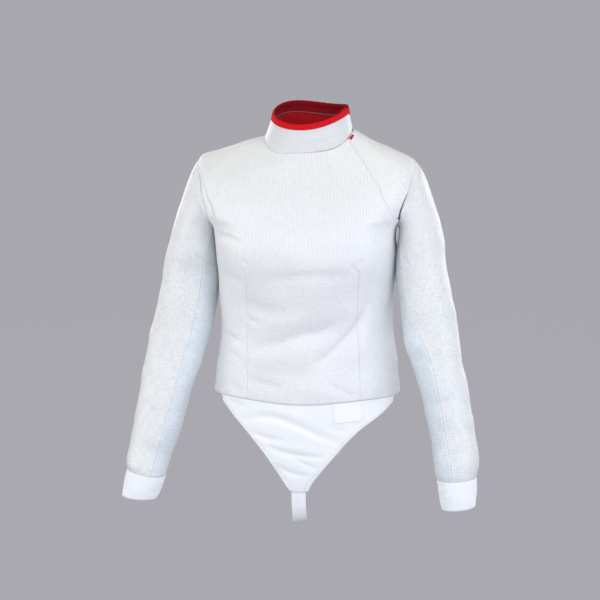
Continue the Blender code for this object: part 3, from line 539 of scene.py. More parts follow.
class LameColours(bpy.types.PropertyGroup):
    """Colours of the cloths."""
    lame: colour("Lamé", "The silver conductive cloth", (0.800, 0.815, 0.820))
    cotton: colour("Cotton", "The white cloth of the bib", (0.955, 0.985, 0.995))
    elastic: colour("Elastic", "The knitted cuffs and the strap", (0.915, 0.940, 0.965))
    tape: colour("Tape", "The red binding of the collar", (0.640, 0.006, 0.012))
    lining: colour("Lining", "The red lining of the collar", (0.300, 0.003, 0.010))
    satin: colour("Satin", "The bare label", (0.985, 0.998, 0.998))
    thread: colour("Thread", "Sewing thread", (0.780, 0.790, 0.800))
    seam: colour("Lining seam", "The piping on the collar's lining", (0.330, 0.120, 0.150))


class LameSizes(bpy.types.PropertyGroup):
    """How the cloth is made and how much it is creased."""
    creasing: FloatProperty(name="Creasing", description="Depth of the creases, 1 as worn",
                            default=1.0, min=0.0, max=1.5, subtype="FACTOR")
    rib: length("Rib", "Step of the lamé's crosswise ribs", 0.0039, 0.001, 0.01)
    streak: length("Streak", "Step of the upright streaks on the chest", 0.0053, 0.002, 0.02)
    knit: length("Knit", "Step of the elastic's ribs", 0.0030, 0.001, 0.01)


class LameStage(bpy.types.PropertyGroup):
    """Floor, lights and camera."""
    floor: colour("Floor", "The plain floor and backdrop", (0.402, 0.397, 0.429))
    glow: FloatProperty(name="Glow", description="Share of its light that it gives by itself",
                        default=0.96, min=0.0, max=1.0, subtype="FACTOR")
    floor_drop: length("Floor drop", "Floor below the garment", 0.16, 0.0, 2.0)
    distance: length("Distance", "From the camera to its target", 2.6, 0.5, 20.0)
    field: length("Field", "Width that the camera takes in at its target", 1.05, 0.1, 10.0)
    azimuth: FloatProperty(name="Azimuth", description="Camera's angle towards the wearer's left",
                           default=math.radians(7.5), unit="ROTATION")
    elevation: FloatProperty(name="Elevation", description="Camera's angle above the horizon",
                             default=math.radians(7.0), unit="ROTATION")
    key: strength("Key", "Strength of the light at the upper left")
    front: strength("Front", "Strength of the light in front")
    side: strength("Side", "Strength of the lights at both sides")
    back: strength("Back", "Strength of the two lights behind")
    top: strength("Top", "Strength of the warm lights above")


# ---------------------------------------------------------------- small maths
def between(table, place):
    """Values of a table at places between its rows, on a smooth curve through them."""
    rows = np.array([[value for value in row if not isinstance(value, str)] for row in table])
    rows = np.vstack((2 * rows[0] - rows[1], rows, 2 * rows[-1] - rows[-2]))
    place = np.asarray(place, dtype=float)
    first = np.clip(np.floor(place), 0, len(rows) - 4).astype(int)
    step = (place - first)[..., None]
    before, start, end, after = (rows[first + ahead] for ahead in range(4))
    into, out = (end - before) / 2, (after - start) / 2
    return ((2 * step**3 - 3 * step**2 + 1) * start + (step**3 - 2 * step**2 + step) * into
            + (3 * step**2 - 2 * step**3) * end + (step**3 - step**2) * out)


def fade(value):
    """Smooth step from 0 to 1."""
    value = np.clip(value, 0.0, 1.0)
    return value * value * (3 - 2 * value)


def crowd(value, strength=CROWDING):
    """Even steps from 0 to 1 drawn closer together at both ends."""
    return value - strength * np.sin(2 * math.pi * value) / (2 * math.pi)


def unit(vectors):
    return vectors / np.maximum(np.linalg.norm(vectors, axis=-1, keepdims=True), 1e-12)


def along(points, axis):
    """Length from the grid's start to each point, along its rows (1) or columns (0)."""
    steps = np.linalg.norm(np.diff(points, axis=axis), axis=-1)
    lengths = np.cumsum(steps, axis=axis)
    return np.concatenate((np.zeros_like(np.take(lengths, [0], axis=axis)), lengths), axis=axis)


# ---------------------------------------------------------------- the trunk
def fold_depth(folds, x, z):
    """How far the large folds sink the cloth at places seen from the front or the back."""
    depth = np.zeros_like(x)
    for fold in folds:
        slant = math.radians(fold.slant)
        lengthwise = (x - fold.x) * math.cos(slant) + (z - fold.z) * math.sin(slant)
        across = (z - fold.z) * math.cos(slant) - (x - fold.x) * math.sin(slant)
        share = (lengthwise / fold.half_length)**4 + (across / fold.half_width)**2
        depth += fold.depth * np.exp(-share)
    return depth


def body_point(turn_degrees, row, out=0.0):
    """Points of the trunk's surface, moved out horizontally by a distance."""
    turn_degrees, row = np.broadcast_arrays(np.asarray(turn_degrees, float), np.asarray(row, float))
    (side_z, half_width, front_depth, back_depth,
     front_drop, back_drop, point, roll) = np.moveaxis(between(BODY, row), -1, 0)
    turn = np.radians(turn_degrees)
    side, front = np.sin(turn), np.cos(turn)
    size = (abs(side)**SQUARENESS + abs(front)**SQUARENESS)**(-1 / SQUARENESS)
    half_width = half_width + (EASE * np.exp(-((row - EASE_ROW) / EASE_ROWS)**2)
                               * (1 - fade((abs(side) - EASE_END) / (1 - EASE_END))))
    forward = front > 0
    depth = np.where(forward, front_depth, back_depth)
    drop = np.where(forward, front_drop, back_drop)
    x, y = half_width * side * size, -depth * front * size
    z = side_z - drop * (1 - side**4) + roll * side
    z = z - np.where(forward, point * np.exp(-(np.arcsin(side) / math.radians(POINT_TURN))**2), 0)
    bust = sum(BUST_RISE * np.exp(-((x - place)**2 + (z - BUST_HEIGHT)**2) / BUST_SPREAD**2)
               for place in (-BUST_OUT, BUST_OUT))
    out = out + np.where(forward, bust - fold_depth(FRONT_FOLDS, x, z), -fold_depth(BACK_FOLDS, x, z))
    facing = unit(np.stack((side * size / half_width, -front * size / depth), axis=-1))
    neck = fade((row - ROW["tip"]) / (ROW["neck"] - ROW["tip"]))
    tip = fade((ROW["hem"] - row) / ROW["hem"])
    return np.stack((x + facing[..., 0] * out + NECK_SHIFT * neck + BIB_SWAY * tip,
                     y + facing[..., 1] * out, z), axis=-1)


def body_facing(turn, row):
    """Unit vectors out of the trunk's surface."""
    degree, row_part = 1.0, 0.02
    around = body_point(turn + degree, row) - body_point(turn - degree, row)
    up = body_point(turn, row + row_part) - body_point(turn, row - row_part)
    return unit(np.cross(around, up))


def armhole_turn(row):
    """Angle from the side seam to the armhole's edge, zero outside the armhole's rows."""
    rise = 2 * (row - ROW["armpit"]) / (ROW["tip"] - ROW["armpit"]) - 1
    return ARMHOLE_TURN * np.sqrt(np.maximum(0.0, 1 - rise * rise)) * (1 - ARMHOLE_SCOOP * rise)


def closing_turn(row):
    """Angle of the front's closing edge, at rows from the armpit to the neck."""
    return between(CLOSING, row - ROW["armpit"])[..., 0]


def front_edge(row):
    """Angle of the front's left edge: side seam, armhole or closing edge."""
    edge = 90 - armhole_turn(row)
    closing = closing_turn(np.maximum(row, ROW["armpit"]))
    return np.where(row > ROW["armpit"], np.minimum(edge, closing), edge)


def under_flap(beside):
    """How far the left front lies under the flap, from 1 to 0, at degrees beside its edge."""
    return 1 - fade((beside - FLAP_LIP) / FLAP_REACH)


def trunk_rows(first, last, step=STEP):
    """Trunk rows about one step of cloth apart."""
    rows = np.linspace(first, last, ROW_SAMPLES)
    climb = along(body_point(np.array(ROW_TURNS)[:, None], rows), 1).mean(axis=0)
    return np.interp(np.linspace(0, climb[-1], round(climb[-1] / step) + 1), climb, rows)


def spread(anchors, counts):
    """Angles from anchor to anchor in each row, crowded towards every anchor."""
    parts = [start[:, None] + (end - start)[:, None] * crowd(np.arange(count) / count)
             for start, end, count in zip(anchors[:-1], anchors[1:], counts)]
    return np.concatenate((*parts, anchors[-1][:, None]), axis=1)


# ---------------------------------------------------------------- sleeves
def ring_point(rings, side, place, angle_degrees):
    """Points of a sleeve or cuff ring: angle 0 outside, 90 in front, 180 inside."""
    (inner_x, inner_z, outer_x, outer_z,
     middle_y, half_depth, _) = np.moveaxis(between(rings, place), -1, 0)
    angle = np.radians(angle_degrees)
    outward, forward = np.cos(angle), np.sin(angle)
    x = (inner_x + outer_x) / 2 + outward * (outer_x - inner_x) / 2
    z = (inner_z + outer_z) / 2 + outward * (outer_z - inner_z) / 2
    return np.stack(np.broadcast_arrays(side * x, middle_y - half_depth * forward, z), axis=-1)


def armhole_point(side, angle_degrees):
    """Points of the armhole's edge, at the same angles as the sleeve's rings."""
    rise = np.cos(np.radians(angle_degrees))
    row = ROW["armpit"] + (ROW["tip"] - ROW["armpit"]) * (1 + rise) / 2
    reach = np.copysign(armhole_turn(row), np.sin(np.radians(angle_degrees)))
    return body_point(side * (90 - reach), row)


def sleeve_point(hand, place, angle):
    """Points of a sleeve's surface: the armhole's edge, fading into the sleeve's rings."""
    rings, side = SLEEVE[hand], SIDE[hand]
    place, angle = np.broadcast_arrays(np.asarray(place, float), np.asarray(angle, float))
    keep = (1 - fade(place / SEAM_PULL))[..., None]
    lift = np.array([0.0, 0.0, ARMPIT_LIFT]) * (((1 - np.cos(np.radians(angle))) / 2)**2)[..., None]
    shift = armhole_point(side, angle) + lift - ring_point(rings, side, np.zeros_like(place), angle)
    return ring_point(rings, side, place, angle) + keep * shift


def sleeve_rows(hand, start, end):
    """Places along a sleeve about one step of cloth apart."""
    fine = np.linspace(0, len(SLEEVE[hand]) - 1, SLEEVE_SAMPLES)
    length = along(sleeve_point(hand, fine[:, None], np.array([[SLEEVE_TURN]])), 0)[:, 0]
    low, high = np.interp((start, end), fine, length)
    return np.interp(np.linspace(low, high, round((high - low) / STEP) + 1), length, fine)


def seam_angle(hand, place):
    """Angle of the sleeve's front seam at a ring; the back seam mirrors it."""
    return between(SLEEVE[hand], place)[..., SleeveRing._fields.index("seam")]


# ---------------------------------------------------------------- the collar
def rim_point(turn_degrees):
    """Points of the collar's rim."""
    turn = np.radians(turn_degrees)
    depth = np.where(np.cos(turn) > 0, RIM_FRONT, RIM_BACK)
    height = (RIM_HEIGHT + RIM_TILT * np.cos(turn) + RIM_ROLL * np.sin(turn)
              + RIM_TWIST * np.sin(2 * turn) + RIM_DIP * np.cos(2 * turn)
              + RIM_WAVE * np.sin(3 * turn))
    x = RIM_SHIFT + RIM_HALF_WIDTH * np.sin(turn)
    return np.stack((x, -depth * np.cos(turn), height), axis=-1)


def collar_point(length, height, out=0.0):
    """Points of the collar: along it from the overlapping end, up it, and moved out."""
    length, height, out = np.broadcast_arrays(*map(np.float64, (length, height, out)))
    turn = COLLAR_START - COLLAR_SWEEP * length
    foot, rim = body_point(turn, np.full_like(turn, ROW["neck"])), rim_point(turn)
    rise = unit(rim - foot)
    point = foot + rise * COLLAR_FOOT
    point = point + (rim - point) * height[..., None]
    angle = np.radians(turn)
    radial = np.stack((np.sin(angle), -np.cos(angle), np.zeros_like(turn)), axis=-1)
    facing = unit(radial - rise * np.sum(radial * rise, axis=-1, keepdims=True))
    start, end = COLLAR_TUCK
    sunk = COLLAR_SINK * fade((start - COLLAR_SWEEP * (1 - length)) / (start - end))
    return point + facing * (out - sunk)[..., None]


def collar_height(length):
    """Length up the collar from foot to rim."""
    return np.linalg.norm(collar_point(length, 1.0) - collar_point(length, 0.0), axis=-1)


# ---------------------------------------------------------------- the bib
def bib_point(across, row, out=0.0):
    """Points of the bib: across it from -1 (right edge) to 1 (left), one layer in."""
    across, row = np.broadcast_arrays(np.asarray(across, float), np.asarray(row, float))
    right, left = np.moveaxis(between(BIB_REACH, np.minimum(row, len(BIB_REACH) - 1)), -1, 0)
    turn = across * np.where(across > 0, left, right)
    return body_point(turn, row) + body_facing(turn, row) * (out - bib_layer(row))[..., None]


def bib_layer(row):
    """How far the bib lies under the trunk's surface: closer to it just below the hem."""
    return LAYER - (LAYER - HEM_LAYER) * fade(row - ROW["hem"] + 1)


# ---------------------------------------------------------------- creases
def crease_depth(crease, x, z):
    """How far one crease sinks the cloth at places seen along Y, all in millimetres."""
    steps = CREASE_PARTS * len(crease.line)
    line = between(crease.line, np.linspace(0, len(crease.line) - 1, steps))
    nearest = np.full(x.shape, np.inf)
    place, side = np.zeros(x.shape), np.zeros(x.shape)
    for number, (start, end) in enumerate(zip(line[:-1], line[1:])):
        run = end - start
        part = np.clip(((x - start[0]) * run[0] + (z - start[1]) * run[1]) / run.dot(run), 0, 1)
        away_x, away_z = x - start[0] - part * run[0], z - start[1] - part * run[1]
        away = away_x**2 + away_z**2
        closer = away < nearest
        nearest = np.where(closer, away, nearest)
        place = np.where(closer, (number + part) / (len(line) - 1), place)
        side = np.where(closer, np.sign(run[0]) * (run[0] * away_z - run[1] * away_x), side)
    width = np.where(side > 0, crease.above, crease.below)
    return crease.depth * np.sin(math.pi * place)**CREASE_TAPER * np.exp(-nearest / width**2)


def creasing(points, facing):
    """How far the cloth is sunk by creases and ripples at points of any panel."""
    x, y, z = np.moveaxis(points, -1, 0)
    sunk = np.zeros(x.shape)
    for side, sign in (("front", -1.0), ("back", 1.0)):
        seen = fade((sign * facing[..., 1] - CREASE_TURN[0]) / CREASE_TURN[1])
        for crease in CREASES[side]:
            sunk += seen * crease_depth(crease, 1000 * x, 1000 * z) / 1000
    chance = np.random.RandomState(RIPPLE_SEED)
    more = 1 + (SLEEVE_RIPPLE - 1) * fade((abs(x) - RIPPLE_SLEEVE[0]) / RIPPLE_SLEEVE[1])
    for wave, height in RIPPLES:
        for _ in range(2):
            direction = chance.normal(size=3) * RIPPLE_LIE
            direction *= 2 * math.pi / wave / np.linalg.norm(direction)
            sunk += more * height * np.sin(points @ direction + chance.uniform(0, 2 * math.pi))
    return sunk * bpy.context.scene.lame_sizes.creasing


def grid_normal(points):
    """Unit vectors square to a grid of points."""
    return unit(np.cross(np.gradient(points, axis=1), np.gradient(points, axis=0)))


def grid_facing(points, middle):
    """Unit vectors out of a grid of points, away from a middle."""
    facing = grid_normal(points)
    return facing if np.sum(facing * (points - middle)) > 0 else -facing


def seam_line(distance, depth, width):
    """The soft groove of a seam at a distance from it."""
    return depth * np.exp(-(distance / width)**2)


def puckers(run, pucker):
    """How the depth of a seam varies along it."""
    return 1 + pucker.share * np.sin(run / pucker.step + pucker.wander * np.sin(run / pucker.reach))


def gathered(turn, gathers):
    """Waves round a sleeve's end, at angles in radians."""
    return np.sin(turn * gathers.count + gathers.wander * np.sin(turn * gathers.bends))


# ---------------------------------------------------------------- making cloth
def add_object(name, shape, finish):
    """Turns a bmesh into a smooth object with one material."""
    bmesh.ops.recalc_face_normals(shape, faces=shape.faces)
    mesh = bpy.data.meshes.new(name)
    shape.to_mesh(mesh)
    shape.free()
    mesh.shade_smooth()
    mesh.materials.append(finish)
    made = bpy.data.objects.new(name, mesh)
    bpy.context.scene.collection.objects.link(made)
    return made


def add_cloth(name, node_name, points, threads, wall, finish, closed=False):
    """A cloth piece: a grid laid through the points, thickened evenly to both sides.

    threads holds each point's place in the cloth, in metres across and along it.
    A closed piece's first and last columns are one.
    """
    rows, columns = points.shape[:2]
    cloth = bmesh.new()
    bmesh.ops.create_grid(cloth, x_segments=columns - 1, y_segments=rows - 1, size=1)
    layer = cloth.loops.layers.uv.new("threads")
    places, flat = points.reshape(-1, 3).tolist(), threads.reshape(-1, 2).tolist()
    for vert, place in zip(cloth.verts, places):
        vert.co = place
    for face in cloth.faces:
        for loop in face.loops:
            loop[layer].uv = flat[loop.vert.index]
    if closed:
        bmesh.ops.remove_doubles(cloth, verts=cloth.verts, dist=GAP / 10)
    piece = add_object(name, cloth, finish)
    thicken = piece.modifiers.new("wall", "SOLIDIFY")
    thicken.thickness = wall
    thicken.offset = 0.0
    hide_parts(node_name)
    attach(piece, "root")
    return piece


def edge_threads(points):
    """Threads measured from a grid's first column and row."""
    return np.stack((along(points, 1), along(points, 0)), axis=-1)


def middle_threads(points, across_zero, lean):
    """Threads of a trunk panel: across from a line of the cloth, and up it.

    lean is how much a slope towards the front or the back adds to the length.
    """
    across = along(points, 1)
    zero = np.take_along_axis(across, across_zero[:, None], axis=1)
    return np.stack((across - zero, points[..., 2] + lean * points[..., 1]), axis=-1)


def trunk_panel(points, seams, darts=()):
    """Sinks creases, seams and darts into a trunk panel's grid.

    seams names the sewn edges among first, last (columns) and foot, head (rows).
    darts holds the columns of the darts and the rows that they reach up to.
    """
    facing = grid_facing(points, TRUNK_MIDDLE)
    sunk = creasing(points, facing)
    across, up = along(points, 1), along(points, 0)
    distance = {"first": across, "last": across[:, -1:] - across, "foot": up, "head": up[-1:] - up}
    for seam in seams:
        run = up if seam in ("first", "last") else across
        groove = CLOSING_GROOVE if seam == "last" and darts else SEAM_GROOVE
        sunk += seam_line(distance[seam], *groove) * puckers(run, TRUNK_PUCKER)
    for column, reach in darts:
        beside = across - across[:, column:column + 1]
        sunk += seam_line(beside, *DART_GROOVE) * fade((reach - up) / DART_FADE)
        sunk += seam_line(np.hypot(beside, up - reach), *DART_DENT)
    return points - facing * sunk[..., None]


def row_beside(points, facing, edge, distance):
    """The line at a distance inside one edge of a grid, with its vectors out of the cloth."""
    grid = np.concatenate((points, facing), axis=-1)
    if edge in ("first", "last"):
        grid = grid.transpose(1, 0, 2)
    if edge in ("last", "head"):
        grid = grid[::-1]
    up = along(grid[..., :3], 0)
    row = np.stack([[np.interp(distance, up[:, column], grid[:, column, axis]) for axis in range(6)]
                    for column in range(grid.shape[1])])
    return row[:, :3], row[:, 3:]


def add_stitches(name, lines, wall=CLOTH, step=STITCH):
    """Rows of stitches along lines of points on the cloth's middle.

    Each line comes with its vectors out of the cloth.
    """
    seam = bmesh.new()
    for line, facing in lines:
        run = np.concatenate(([0.0], np.cumsum(np.linalg.norm(np.diff(line, axis=0), axis=1))))
        for start in np.arange(step / 2, run[-1] - step / 2, step):
            ends = np.array([[np.interp(start + reach, run, line[:, axis]) for axis in range(3)]
                             for reach in (-step * STITCH_PART / 2, step * STITCH_PART / 2)])
            out = Vector([np.interp(start, run, facing[:, axis]) for axis in range(3)]).normalized()
            lengthwise = Vector(ends[1] - ends[0]) / 2
            across = out.cross(lengthwise.normalized())
            place = Vector(ends.mean(axis=0)) + out * (wall / 2 + THREAD * THREAD_LIE)
            shape = Matrix((lengthwise, across * THREAD * THREAD_FLAT, out * THREAD)).transposed()
            bmesh.ops.create_icosphere(seam, subdivisions=1, radius=1.0,
                                       matrix=Matrix.Translation(place) @ shape.to_4x4())
    piece = add_object(name, seam, sewing_thread())
    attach(piece, "root")


def draw_in(points, by=GAP / 2):
    """Moves a grid's edges inwards by a distance, or outwards where it is negative."""
    def toward(edge, inside):
        return edge + unit(inside - edge) * by

    points[0], points[-1] = toward(points[0], points[1]), toward(points[-1], points[-2])
    points[:, 0] = toward(points[:, 0], points[:, 1])
    points[:, -1] = toward(points[:, -1], points[:, -2])
    return points


# ---------------------------------------------------------------- materials
def node(tree, kind, inputs=(), **settings):
    """Adds a shader node. Inputs are numbers, colours or other nodes' outputs."""
    new = tree.nodes.new(kind)
    for name, value in settings.items():
        setattr(new, name, value)
    for name, value in dict(inputs).items():
        if isinstance(value, bpy.types.NodeSocket):
            tree.links.new(value, new.inputs[name])
        else:
            new.inputs[name].default_value = value
    return new


def maths(tree, operation, *values, clamp=False):
    """Adds a Math node and gives its output."""
    return node(tree, "ShaderNodeMath", dict(enumerate(values)), operation=operation,
                use_clamp=clamp).outputs[0]


def start_material(name, finish):
    """A Principled material and its thread coordinates."""
    material = bpy.data.materials.get(name) or bpy.data.materials.new(name)
    material.use_nodes = True
    tree = material.node_tree
    tree.nodes.clear()
    shader = node(tree, "ShaderNodeBsdfPrincipled")
    tree.links.new(shader.outputs[0], node(tree, "ShaderNodeOutputMaterial").inputs["Surface"])
    for socket, value in (("Roughness", finish.roughness), ("Metallic", finish.metallic),
                          ("Sheen Weight", finish.sheen), ("Sheen Roughness", SHEEN_SPREAD),
                          ("Specular IOR Level", finish.specular)):
        shader.inputs[socket].default_value = value
    uv = node(tree, "ShaderNodeUVMap", uv_map="threads").outputs[0]
    return material, tree, shader, uv


def thread_wave(tree, coordinate, step, drift=0.0):
    """A wave from 0 to 1 along a thread coordinate, led astray by a drift in radians."""
    turns = maths(tree, "MULTIPLY_ADD", coordinate, 2 * math.pi / step, drift)
    return maths(tree, "MULTIPLY_ADD", maths(tree, "SINE", turns), 0.5, 0.5)


def cloth_noise(tree, vector, scale, detail=2.0):
    """Noise from 0 to 1, with so many features to a metre."""
    inputs = {"Vector": vector, "Scale": scale, "Detail": detail}
    return node(tree, "ShaderNodeTexNoise", inputs).outputs["Fac"]


def scaled(tree, vector, across, up):
    """Thread coordinates scaled across and along the cloth."""
    return node(tree, "ShaderNodeMapping", {"Vector": vector, "Scale": (across, up, 1.0)}).outputs[0]


def blend_colours(tree, factor, first, second):
    """A mix of two colours, each three numbers or another node's output."""
    first, second = (end if isinstance(end, bpy.types.NodeSocket) else (*end, 1.0)
                     for end in (first, second))
    inputs = {"Factor": factor, 6: first, 7: second}
    return node(tree, "ShaderNodeMix", inputs, data_type="RGBA").outputs[2]


def shade(base, amount):
    """A colour made lighter or darker by a factor for each channel."""
    return tuple(min(max(channel * factor, 0.0), 1.0) for channel, factor in zip(base, amount))


def bump(tree, shader, height, distance):
    """Raises the surface by up to a distance where the height is 1."""
    raised = node(tree, "ShaderNodeBump", {"Height": height, "Distance": distance, "Strength": 1.0})
    tree.links.new(raised.outputs[0], shader.inputs["Normal"])


def slubs(tree, vector, slub):
    """Uneven threads from 0 to 1: noise drawn out by its scales across and up, sharpened."""
    fac = cloth_noise(tree, scaled(tree, vector, slub.across, slub.up), 1.0, 1.0)
    return maths(tree, "MULTIPLY_ADD", fac, slub.contrast, 0.5 - slub.contrast / 2, clamp=True)


def toned(tree, tone, finish, base):
    """A finish's colours from its dark threads, at tone 0, to its light ones."""
    return blend_colours(tree, tone, shade(base, finish.dark), shade(base, finish.light))


def plain_weave(tree, across, up, steps):
    """Threads that cross one over one, from 0 to 1."""
    return maths(tree, "MULTIPLY", thread_wave(tree, up, steps[1]),
                 thread_wave(tree, across, steps[0]))


def ramp(tree, value, low, high):
    """A smooth ramp from 0 to 1 between two values."""
    return node(tree, "ShaderNodeMapRange", {0: value, 1: low, 2: high},
                interpolation_type="SMOOTHSTEP").outputs[0]


def weighted(tree, *pairs):
    """The sum of values with their weights."""
    total = 0.0
    for value, weight in pairs:
        total = maths(tree, "MULTIPLY_ADD", value, weight, total)
    return total


def lame_cloth(name="lame_weave", tone_of=(1.0, 1.0, 1.0), painted_armpit_shade=False):
    """Silver cloth: crossing threads, upright lines on the chest, a satin sheen.

    Where asked, shade is painted under the arm: the colour turns darker and browner there.
    """
    colours, sizes = bpy.context.scene.lame_colours, bpy.context.scene.lame_sizes
    material, tree, shader, uv = start_material(name, LAME_FINISH)
    across, up, _ = node(tree, "ShaderNodeSeparateXYZ", {0: uv}).outputs
    place = node(tree, "ShaderNodeTexCoord").outputs["Object"]
    x, _, z = node(tree, "ShaderNodeSeparateXYZ", {0: place}).outputs
    sideways = maths(tree, "ABSOLUTE", x)
    wander = cloth_noise(tree, place, 38.0)
    cloud = cloth_noise(tree, place, 9.0, 3.0)
    weft, warp, grain = (slubs(tree, uv, slub) for slub in (WEFT, WARP, GRAIN))
    drift = maths(tree, "MULTIPLY", wander, DRIFT)
    line = thread_wave(tree, across, sizes.streak, drift)
    rib = thread_wave(tree, up, sizes.rib, drift)

    # the upright lines show on the chest, from the yoke to the bust, and fade out unevenly
    stray = maths(tree, "MULTIPLY", wander, STRAY)
    inside = ramp(tree, maths(tree, "ADD", sideways, stray), *CHEST_SIDE)
    over = ramp(tree, maths(tree, "ADD", z, stray), *CHEST_FOOT)
    chest = maths(tree, "MULTIPLY", maths(tree, "MULTIPLY", inside, over),
                  ramp(tree, z, *CHEST_HEAD))
    upright = weighted(tree, (line, 0.34), (warp, 0.42), (grain, 0.24))
    level = weighted(tree, (rib, 0.14), (weft, 0.42), (warp, 0.22), (grain, 0.22))
    pattern = node(tree, "ShaderNodeMix", {0: chest, 2: level, 3: upright}).outputs[0]

    # the sleeves' cloth is crushed more than the trunk's
    crushed = ramp(tree, sideways, *CRUSHED_SIDE)
    flecks = weighted(tree, (slubs(tree, uv, WEFT_FLECKS), 0.55),
                      (slubs(tree, uv, WARP_FLECKS), 0.45))
    pattern = maths(tree, "MULTIPLY_ADD", maths(tree, "MULTIPLY", crushed, CRUSHED),
                    maths(tree, "SUBTRACT", flecks, 0.5), pattern)
    base = shade(colours.lame, tone_of)
    colour = toned(tree, weighted(tree, (pattern, 0.78), (cloud, 0.22)), LAME_FINISH, base)
    # painted shade: a darker, browner colour towards the armpit, between sleeve and trunk
    if painted_armpit_shade:
        inner = ramp(tree, maths(tree, "ADD", sideways, stray), *ARMPIT_SHADE_SIDE)
        armpit = maths(tree, "MULTIPLY", ramp(tree, z, *ARMPIT_SHADE_FOOT), inner)
        armpit = maths(tree, "MULTIPLY", armpit, ARMPIT_SHADE_STRENGTH)
        colour = blend_colours(tree, armpit, colour, shade(base, ARMPIT_SHADE_TINT))
    tree.links.new(colour, shader.inputs["Base Color"])
    plain = plain_weave(tree, across, up, LAME_WEAVE)
    bump(tree, shader, weighted(tree, (plain, 0.35), (pattern, 1.0)), LAME_FINISH.relief)
    least, more = LAME_ROUGH
    tree.links.new(maths(tree, "MULTIPLY_ADD", weft, more, least), shader.inputs["Roughness"])
    return material


def cotton_cloth():
    """Plain white cotton of the bib and its binding."""
    colours = bpy.context.scene.lame_colours
    material, tree, shader, uv = start_material("white_cotton_weave", COTTON_FINISH)
    across, up, _ = node(tree, "ShaderNodeSeparateXYZ", {0: uv}).outputs
    cloud = cloth_noise(tree, node(tree, "ShaderNodeTexCoord").outputs["Object"], 14.0, 3.0)
    thread = cloth_noise(tree, scaled(tree, uv, 90, 600), 1.0, 2.0)
    colour = toned(tree, weighted(tree, (cloud, 0.5), (thread, 0.5)), COTTON_FINISH, colours.cotton)
    tree.links.new(colour, shader.inputs["Base Color"])
    weave = plain_weave(tree, across, up, COTTON_WEAVE)
    bump(tree, shader, weighted(tree, (weave, 1.0), (thread, 0.8)), COTTON_FINISH.relief)
    return material


def elastic_knit():
    """Ribbed white elastic of the cuffs and the strap."""
    colours, sizes = bpy.context.scene.lame_colours, bpy.context.scene.lame_sizes
    material, tree, shader, uv = start_material("white_elastic_knit", KNIT_FINISH)
    across, up, _ = node(tree, "ShaderNodeSeparateXYZ", {0: uv}).outputs
    rib = thread_wave(tree, across, sizes.knit)
    loop = thread_wave(tree, up, KNIT_LOOP)
    fuzz = cloth_noise(tree, uv, 420.0, 2.0)
    cloud = cloth_noise(tree, scaled(tree, uv, 60, 25), 1.0, 2.0)
    tone = weighted(tree, (rib, 0.25), (fuzz, 0.45), (cloud, 0.30))
    tree.links.new(toned(tree, tone, KNIT_FINISH, colours.elastic), shader.inputs["Base Color"])
    bump(tree, shader, weighted(tree, (rib, 1.0), (loop, 0.35), (fuzz, 0.5)), KNIT_FINISH.relief)
    return material


def red_tape():
    """Red binding: bright outside, painted dark as shade from its fold inwards, with a few pale
    threads, partly wear and partly a painted highlight.
    """
    colours = bpy.context.scene.lame_colours
    material, tree, shader, uv = start_material("red_tape_weave", TAPE_FINISH)
    across, up, _ = node(tree, "ShaderNodeSeparateXYZ", {0: uv}).outputs
    rib = thread_wave(tree, across, TAPE_RIB)
    # pale pink threads: partly wear, partly a painted highlight
    wear_and_highlight = cloth_noise(tree, uv, 300.0, 2.0)
    bright = toned(tree, weighted(tree, (rib, 0.35), (wear_and_highlight, 0.65)), TAPE_FINISH, colours.tape)
    # painted shade: from the fold inwards the binding takes the lining's dark colour
    fold = ramp(tree, up, BINDING_OUTER + BINDING_SHADE_REACH[0], BINDING_OUTER + BINDING_SHADE_REACH[1])
    shaded = blend_colours(tree, fold, bright, shade(colours.lining, TAPE_INSIDE_SHADE))
    tree.links.new(shaded, shader.inputs["Base Color"])
    bump(tree, shader, weighted(tree, (rib, 1.0), (wear_and_highlight, 0.4)), TAPE_FINISH.relief)
    return material


def red_lining():
    """Dark red lining, with its piped seam a little below the rim and brighter under it."""
    colours = bpy.context.scene.lame_colours
    material, tree, shader, uv = start_material("red_lining_weave", LINING_FINISH)
    across, up, _ = node(tree, "ShaderNodeSeparateXYZ", {0: uv}).outputs
    weave = plain_weave(tree, across, up, LINING_WEAVE)
    cloud = cloth_noise(tree, scaled(tree, uv, 30, 170), 1.0, 3.0)
    cloth = toned(tree, weighted(tree, (cloud, 0.85), (weave, 0.15)), LINING_FINISH, colours.lining)
    below = ramp(tree, up, -LINING_SEAM - LINING_BRIGHT[0], -LINING_SEAM - LINING_BRIGHT[1])
    lower = blend_colours(tree, below, cloth, shade(colours.lining, LINING_LOWER))
    beside = maths(tree, "ABSOLUTE", maths(tree, "ADD", up, LINING_SEAM))
    piped = blend_colours(tree, ramp(tree, beside, *LINING_PIPING), lower, colours.seam)
    tree.links.new(piped, shader.inputs["Base Color"])
    bump(tree, shader, weighted(tree, (weave, 1.0), (cloud, 2.0)), LINING_FINISH.relief)
    return material


def label_satin():
    """Smooth woven satin of the bare label."""
    colours = bpy.context.scene.lame_colours
    material, tree, shader, uv = start_material("label_satin_weave", SATIN_FINISH)
    _, up, _ = node(tree, "ShaderNodeSeparateXYZ", {0: uv}).outputs
    fine = cloth_noise(tree, scaled(tree, uv, 150, 900), 1.0, 2.0)
    tree.links.new(toned(tree, fine, SATIN_FINISH, colours.satin), shader.inputs["Base Color"])
    thread = thread_wave(tree, up, SATIN_THREAD)
    bump(tree, shader, weighted(tree, (fine, 1.0), (thread, 0.4)), SATIN_FINISH.relief)
    return material


